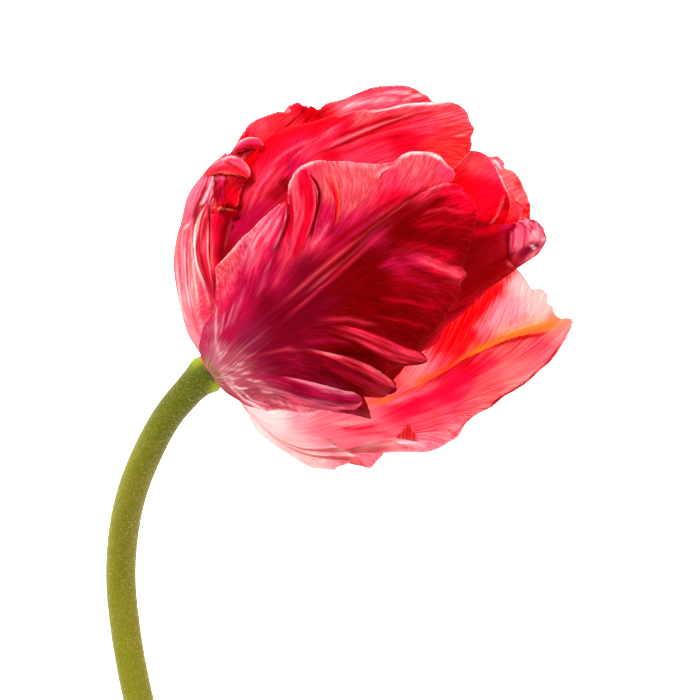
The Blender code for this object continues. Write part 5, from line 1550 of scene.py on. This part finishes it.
class TepalSettings(bpy.types.PropertyGroup):
    thickness: bpy.props.FloatProperty(
        name="Thickness", description="Thickness of a tepal", default=0.00034, min=0.0001, unit="LENGTH"
    )
    rib_gap: bpy.props.FloatProperty(
        name="Rib gap", description="Gap between ribs at the rim", default=0.00047, min=0.0003, unit="LENGTH"
    )
    stations: bpy.props.IntProperty(name="Stations", description="Points along each rib", default=84, min=8)
    pleat: bpy.props.FloatProperty(
        name="Pleat", description="Height of the pleats along the veins", default=0.00035, unit="LENGTH"
    )
    ruffle: bpy.props.FloatProperty(
        name="Ruffle", description="Height of the waves at the rim", default=0.0009, unit="LENGTH"
    )
    ragged: bpy.props.FloatProperty(
        name="Ragged", description="Depth of the torn edge", default=0.00028, unit="LENGTH"
    )
    glow: bpy.props.FloatProperty(
        name="Glow", description="Share of light that comes through a tepal", default=0.58, min=0.0, max=1.0
    )
    gloss: bpy.props.FloatProperty(
        name="Gloss", description="Shine of a tepal", default=0.004, min=0.0, max=1.0
    )
    # The colour of the painted highlight along a tepal's rim.
    rim_highlight_colour: bpy.props.FloatVectorProperty(
        name="Rim", description="Colour of the edge", subtype="COLOR", default=tuple(linear(PAINTS["shell"]))
    )


class StemSettings(bpy.types.PropertyGroup):
    smoothing: bpy.props.IntProperty(
        name="Smoothing", description="Rings between rows of the stem", default=8, min=1
    )
    down_colour: bpy.props.FloatVectorProperty(
        name="Down", description="Colour of the down", subtype="COLOR", default=tuple(linear(PAINTS["tan"]))
    )
    down_density: bpy.props.FloatProperty(
        name="Down density", description="Hairs on a square metre", default=4.0e6
    )
    down_length: bpy.props.FloatProperty(
        name="Down length", description="Length of a hair", default=0.0005, precision=5, unit="LENGTH"
    )
    down_width: bpy.props.FloatProperty(
        name="Down width", description="Radius of a hair's foot", default=0.00004, precision=5, unit="LENGTH"
    )
    down_seed: bpy.props.IntProperty(name="Down seed", description="Seed for the hairs' places", default=3)


class StageSettings(bpy.types.PropertyGroup):
    floor: bpy.props.FloatProperty(name="Floor", description="Side of the floor", default=3.0, unit="LENGTH")
    floor_glow: bpy.props.FloatProperty(name="Table light", description="Light from the table", default=2.4)
    sky: bpy.props.FloatProperty(name="Ambient", description="Light from all round", default=0.5)
    key: bpy.props.FloatProperty(name="Key", description="Power of the key light", default=26.0, unit="POWER")
    fill: bpy.props.FloatProperty(
        name="Fill", description="Power of the fill light", default=16.0, unit="POWER"
    )
    lens: bpy.props.FloatProperty(name="Lens", description="Focal length in millimetres", default=800.0)
    view_width: bpy.props.FloatProperty(
        name="View width", description="Width of what the camera sees", default=0.161, unit="LENGTH"
    )


def swept_mesh(name, line):
    """A round rod along a line of (x, y, z, radius) rows, closed at both ends."""
    curve = bpy.data.curves.new(name, "CURVE")
    curve.dimensions = "3D"
    curve.bevel_depth = 1.0
    curve.bevel_resolution = STEM_ROUNDNESS
    curve.use_fill_caps = True
    spline = curve.splines.new("POLY")
    spline.points.add(len(line) - 1)
    for point, row in zip(spline.points, line):
        point.co = (row[0], row[1], row[2], 1.0)
        point.radius = row[3]
    mesh = plain_mesh(new_object(name, curve))
    body = bmesh.new()
    body.from_mesh(mesh)
    bmesh.ops.remove_doubles(body, verts=body.verts, dist=WELD)
    bmesh.ops.recalc_face_normals(body, faces=body.faces)
    body.to_mesh(mesh)
    body.free()
    mesh.shade_smooth()
    return mesh


def rod_mesh(name, middles, radii, height):
    """A closed rod of rings square to the flower's axis, with a radius for each point of each ring."""
    count = radii.shape[1]
    turn = np.linspace(0.0, 2 * math.pi, count, endpoint=False)
    spokes = np.cos(turn)[:, None] * ACROSS + np.sin(turn)[:, None] * UP
    rings = middles[:, None, :] + radii[..., None] * spokes
    points = np.concatenate([rings.reshape(-1, 3), middles[:1], middles[-1:]])
    index = np.arange(rings.shape[0] * count).reshape(-1, count)
    after = np.roll(index, -1, axis=1)
    faces = np.stack([index[:-1], after[:-1], after[1:], index[1:]], axis=-1).reshape(-1, 4).tolist()
    first, last = len(points) - 2, len(points) - 1
    faces += [(first, b, a) for a, b in zip(index[0].tolist(), after[0].tolist())]
    faces += [(last, a, b) for a, b in zip(index[-1].tolist(), after[-1].tolist())]
    mesh = bpy.data.meshes.new(name)
    mesh.from_pydata(points.tolist(), [], faces)
    keep_value(mesh, "height", np.concatenate([np.repeat(height, count), height[:1], height[-1:]]))
    mesh.shade_smooth()
    return mesh


def stem_tint(points, normals):
    """Olive with painted shade, darker to the right and deep green near the flower; lime where the receptacle
    flares.
    """
    along = -(points @ ALONG)
    side = normals @ ACROSS
    shade = 1.0 - smoothstep((along - SHADE_FROM) / SHADE_OVER)
    flare = 1.0 - smoothstep((along - FLARE_FROM) / FLARE_OVER)
    flare = flare * smoothstep((np.abs(side) - FLARE_SIDE_FROM) / FLARE_SIDE_OVER)
    lime, leaf, olive, green = (np.array(PAINTS[name]) for name in ("lime", "leaf", "olive", "grass"))
    # Painted shade: olive on the side turned away from ACROSS, lighter grass green on the side turned towards
    # it.
    colour = green + smoothstep((SHADED_SIDE_FROM - side) / SHADED_SIDE_OVER)[:, None] * (olive - green)
    # Painted shade: deepening to leaf green near the flower.
    colour = colour + (shade * SHADE_DEPTH)[:, None] * (leaf - colour)
    return linear(colour + flare[:, None] * (lime - colour))


def stem_material(settings):
    """The stem's tint with its painted shade, under a grain of fine pale down."""
    material, tree = new_skin("stem_velvet")
    place = object_place(tree)
    grain = noise_at(tree, place, *STEM_GRAIN)
    patches = noise_at(tree, place, *STEM_PATCHES)
    share = remap(tree, grain, *STEM_GRAIN_SPAN)
    share = math_node(tree, "MULTIPLY", share, remap(tree, patches, *STEM_PATCH_SPAN))
    base = mix_colour(tree, share, kept(tree, "tint", "Color"), tuple(settings.down_colour))
    shader = add(
        tree, "ShaderNodeBsdfPrincipled", Roughness=STEM_ROUGHNESS, Specular_IOR_Level=STEM_SHINE,
        Sheen_Weight=SHEEN, Sheen_Roughness=SHEEN_ROUGHNESS, Sheen_Tint=SHEEN_LIME,
    )
    tree.links.new(base, shader.inputs["Base Color"])
    raise_by(tree, shader, grain, *STEM_BUMP)
    show(tree, shader.outputs["BSDF"])
    return material


def random_value(tree, kind, low, high, seed):
    """A random value between two others, made by a geometry tree with the given seed."""
    node = tree.nodes.new("FunctionNodeRandomValue")
    node.data_type = kind
    node.inputs["Min"].default_value = low
    node.inputs["Max"].default_value = high
    tree.links.new(seed, node.inputs["Seed"])
    return next(socket for socket in node.outputs if socket.enabled)


def down_tree(material):
    """Geometry Nodes that scatter short leaning cones over the faces that don't face down."""
    tree = bpy.data.node_groups.new("stem_down", "GeometryNodeTree")
    sockets = {"Skin": "Geometry", "Density": "Float", "Length": "Float", "Width": "Float", "Seed": "Int"}
    for name, kind in sockets.items():
        tree.interface.new_socket(name=name, in_out="INPUT", socket_type="NodeSocket" + kind)
    tree.interface.new_socket(name="Down", in_out="OUTPUT", socket_type="NodeSocketGeometry")
    link = tree.links.new
    given = tree.nodes.new("NodeGroupInput").outputs
    normal = tree.nodes.new("GeometryNodeInputNormal")
    parts = tree.nodes.new("ShaderNodeSeparateXYZ")
    link(normal.outputs["Normal"], parts.inputs["Vector"])
    upward = tree.nodes.new("FunctionNodeCompare")
    upward.operation = "GREATER_THAN"
    upward.inputs["B"].default_value = LEAST_UPWARD
    link(parts.outputs["Z"], upward.inputs["A"])
    scatter = tree.nodes.new("GeometryNodeDistributePointsOnFaces")
    link(given["Skin"], scatter.inputs["Mesh"])
    link(upward.outputs["Result"], scatter.inputs["Selection"])
    link(given["Density"], scatter.inputs["Density"])
    link(given["Seed"], scatter.inputs["Seed"])
    cone = add(tree, "GeometryNodeMeshCone", Vertices=HAIR_SIDES, Radius_Top=0.0)
    link(given["Width"], cone.inputs["Radius Bottom"])
    link(given["Length"], cone.inputs["Depth"])
    lean = random_value(
        tree, "FLOAT_VECTOR", (-DOWN_TILT, -DOWN_TILT, 0.0), (DOWN_TILT, DOWN_TILT, 0.0), given["Seed"]
    )
    turn = tree.nodes.new("FunctionNodeRotateRotation")
    turn.rotation_space = "LOCAL"
    link(scatter.outputs["Rotation"], turn.inputs["Rotation"])
    link(lean, turn.inputs["Rotate By"])
    place = tree.nodes.new("GeometryNodeInstanceOnPoints")
    link(scatter.outputs["Points"], place.inputs["Points"])
    link(cone.outputs["Mesh"], place.inputs["Instance"])
    link(turn.outputs["Rotation"], place.inputs["Rotation"])
    link(random_value(tree, "FLOAT", LEAST_HAIR, 1.0, given["Seed"]), place.inputs["Scale"])
    realize = tree.nodes.new("GeometryNodeRealizeInstances")
    link(place.outputs["Instances"], realize.inputs["Geometry"])
    skin = add(tree, "GeometryNodeSetMaterial", Material=material)
    link(realize.outputs["Geometry"], skin.inputs["Geometry"])
    link(skin.outputs["Geometry"], tree.nodes.new("NodeGroupOutput").inputs["Down"])
    return tree


def down_on(stem, settings):
    """The stem's down as a plain mesh."""
    material, tree = new_skin("pale_down")
    cloud = noise_at(tree, object_place(tree), DOWN_CLOUD)
    pale = tuple(settings.down_colour)
    paler = tuple(min(1.0, DOWN_LIGHTENING * part) for part in pale)
    shader = add(tree, "ShaderNodeBsdfPrincipled", Roughness=DOWN_ROUGHNESS)
    tree.links.new(mix_colour(tree, cloud, pale, paler), shader.inputs["Base Color"])
    show(tree, shader.outputs["BSDF"])
    grower = new_object("down_grower", stem.data)
    modifier = grower.modifiers.new("down", "NODES")
    modifier.node_group = down_tree(material)
    values = {
        "Density": settings.down_density,
        "Length": settings.down_length,
        "Width": settings.down_width,
        "Seed": settings.down_seed,
    }
    for item in modifier.node_group.interface.items_tree:
        if item.name in values:
            modifier[item.identifier] = values[item.name]
    return new_object("stem_down", plain_mesh(grower))


class OuterTepals(bpy.types.Operator):
    """Make the four outer tepals"""

    bl_idname = "tulip.outer_tepals"
    bl_label = "Outer Tepals"

    def execute(self, context):
        for tepal in OUTER_TEPALS:
            make_tepal(tepal)
        return {"FINISHED"}


class InnerTepals(bpy.types.Operator):
    """Make the four inner tepals"""

    bl_idname = "tulip.inner_tepals"
    bl_label = "Inner Tepals"

    def execute(self, context):
        for tepal in INNER_TEPALS:
            make_tepal(tepal)
        return {"FINISHED"}


class Stem(bpy.types.Operator):
    """Make the bent stem with its receptacle"""

    bl_idname = "tulip.stem"
    bl_label = "Stem"

    def execute(self, context):
        settings = context.scene.tulip_stem
        bent = [tuple(row) for row in smooth_path(STEM_LINE[RECEPTACLE_ROWS:], settings.smoothing)]
        mesh = swept_mesh("stem", STEM_LINE[:RECEPTACLE_ROWS] + bent)
        keep_colour(mesh, "tint", stem_tint(point_values(mesh, "co"), point_values(mesh, "normal")))
        stem = make_object("velvet_stem", mesh)
        stem.data.materials.clear()
        stem.data.materials.append(stem_material(settings))
        for obj in (stem, down_on(stem, settings)):
            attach(obj, "root")
            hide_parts("stem")
        return {"FINISHED"}


class Pistil(bpy.types.Operator):
    """Make the three-sided ovary with its frilled stigma"""

    bl_idname = "tulip.pistil"
    bl_label = "Pistil"

    def execute(self, context):
        settings = context.scene.tulip_heart
        turn = np.linspace(0.0, 2 * math.pi, settings.points, endpoint=False)[None, :]
        sides = np.cos(PISTIL_SIDES * turn)
        height = 0.5 - 0.5 * np.cos(np.linspace(*PISTIL_ENDS, settings.rings) * math.pi)
        blunt = np.sqrt(1.0 - (2.0 * height - 1.0) ** PISTIL_BLUNTNESS)
        body = PISTIL_RADIUS * blunt * (1.0 - PISTIL_TAPER * height)
        head = np.exp(-(((height - STIGMA_AT) / STIGMA_SPREAD) ** 2))[:, None]
        frills = settings.frill * np.cos(STIGMA_FRILLS * turn)
        radii = body[:, None] * (1.0 + OVARY_LOBES * sides)
        radii *= 1.0 + head * (STIGMA_FLARE + STIGMA_LOBES * sides + frills)
        middles = (PISTIL_START + PISTIL_LENGTH * height)[:, None] * ALONG
        skin = heart_material("pistil_skin", PISTIL_GREEN, STIGMA_CREAM, STIGMA_CREAM, STIGMA_SPAN)
        obj = make_object("ovary_and_stigma", rod_mesh("pistil", middles, radii, height))
        obj.data.materials.append(skin)
        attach(obj, "root")
        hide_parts("pistil")
        return {"FINISHED"}


class Stamens(bpy.types.Operator):
    """Make the six stamens, each a thin filament with a grooved anther"""

    bl_idname = "tulip.stamens"
    bl_label = "Stamens"

    def execute(self, context):
        settings = context.scene.tulip_heart
        skin = heart_material("anther_skin", FILAMENT_PLUM, ANTHER_DARK, POLLEN, ANTHER_SPAN)
        rows = smooth_path(STAMEN_LINE, STAMEN_STEPS)
        height = (rows[:, 0] - rows[0, 0]) / (rows[-1, 0] - rows[0, 0])
        anther = smoothstep((height - ANTHER_SPAN[0]) / ANTHER_OVER)[:, None]
        turn = np.linspace(0.0, 2 * math.pi, settings.points // 2, endpoint=False)[None, :]
        for number in range(STAMEN_COUNT):
            lean = STAMEN_TURN + 2 * math.pi * number / STAMEN_COUNT
            out = ACROSS * math.sin(lean) + UP * math.cos(lean)
            grooves = settings.groove * anther * np.cos(ANTHER_GROOVES * (turn + lean))
            radii = rows[:, 2:3] * (1.0 + grooves)
            middles = rows[:, 0:1] * ALONG + rows[:, 1:2] * out
            name = "stamen_" + str(number + 1)
            mesh = rod_mesh(name, middles, radii, height)
            obj = make_object("filament_and_anther_" + str(number + 1), mesh)
            obj.data.materials.append(skin)
            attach(obj, "root")
            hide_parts(name)
        return {"FINISHED"}


def area_light(name, place, size, power, colour):
    """A square soft light at a place, aimed at the flower."""
    data = bpy.data.lights.new(name, "AREA")
    data.size = size
    data.energy = power
    data.color = colour
    lamp = new_object(name, data)
    lamp.location = place
    x, y, z = np.array(LIGHT_AIM) - np.array(place)
    lamp.rotation_euler = (math.atan2(math.hypot(x, y), -z), 0.0, math.atan2(y, x) - math.pi / 2)


def lit_table(side, glow):
    """A pale square table top that gives off light of its own."""
    half = side / 2
    corners = [(-half, -half, 0), (half, -half, 0), (half, half, 0), (-half, half, 0)]
    mesh = bpy.data.meshes.new("table_top")
    mesh.from_pydata(corners, [], [(0, 1, 2, 3)])
    material, tree = new_skin("lit_table")
    cloud = noise_at(tree, object_place(tree), TABLE_CLOUD)
    shader = add(
        tree, "ShaderNodeBsdfPrincipled", Roughness=TABLE_ROUGHNESS, Emission_Color=WHITE + (1.0,),
        Emission_Strength=glow,
    )
    tree.links.new(mix_colour(tree, cloud, TABLE_PALE, TABLE_PALER), shader.inputs["Base Color"])
    show(tree, shader.outputs["BSDF"])
    mesh.materials.append(material)
    return new_object("table_top", mesh)


class Stage(bpy.types.Operator):
    """Set the pale lit table, the soft lights and the camera above"""

    bl_idname = "tulip.stage"
    bl_label = "Stage"

    def execute(self, context):
        settings = context.scene.tulip_stage
        table = lit_table(settings.floor, settings.floor_glow)
        world = bpy.data.worlds.new("room")
        context.scene.world = world
        world.use_nodes = True
        background = world.node_tree.nodes["Background"]
        background.inputs["Color"].default_value = WHITE + (1.0,)
        background.inputs["Strength"].default_value = settings.sky
        area_light("key", KEY_PLACE, KEY_SIZE, settings.key, KEY_COLOUR)
        area_light("fill", FILL_PLACE, FILL_SIZE, settings.fill, WHITE)
        data = bpy.data.cameras.new("camera")
        data.lens = settings.lens
        data.clip_start = CLIP_START
        data.clip_end = CLIP_END
        camera = new_object("camera", data)
        distance = settings.view_width * settings.lens / data.sensor_width
        camera.location = (VIEW_X, VIEW_Y, VIEW_HEIGHT + distance)
        context.scene.camera = camera
        context.scene.view_settings.view_transform = "Standard"
        return {"FINISHED"}


class TulipPanel(bpy.types.Panel):
    bl_idname = "VIEW3D_PT_tulip"
    bl_label = "Tulip"
    bl_space_type = "VIEW_3D"
    bl_region_type = "UI"
    bl_category = "Tulip"

    def draw(self, context):
        for step in STEPS:
            self.layout.operator(step.bl_idname)


STEPS = [OuterTepals, InnerTepals, Stem, Pistil, Stamens, Stage]
GROUPS = {
    "tulip_tepals": TepalSettings,
    "tulip_heart": HeartSettings,
    "tulip_stem": StemSettings,
    "tulip_stage": StageSettings,
}


def register():
    for name, group in GROUPS.items():
        bpy.utils.register_class(group)
        setattr(bpy.types.Scene, name, bpy.props.PointerProperty(type=group))
    for step in STEPS:
        bpy.utils.register_class(step)
    bpy.utils.register_class(TulipPanel)


def unregister():
    bpy.utils.unregister_class(TulipPanel)
    for step in reversed(STEPS):
        bpy.utils.unregister_class(step)
    for name, group in GROUPS.items():
        delattr(bpy.types.Scene, name)
        bpy.utils.unregister_class(group)


def main():
    """Runs every step in order."""
    register()
    bpy.ops.tulip.outer_tepals()
    bpy.ops.tulip.inner_tepals()
    bpy.ops.tulip.stem()
    bpy.ops.tulip.pistil()
    bpy.ops.tulip.stamens()
    bpy.ops.tulip.stage()


if __name__ == "__main__":
    main()
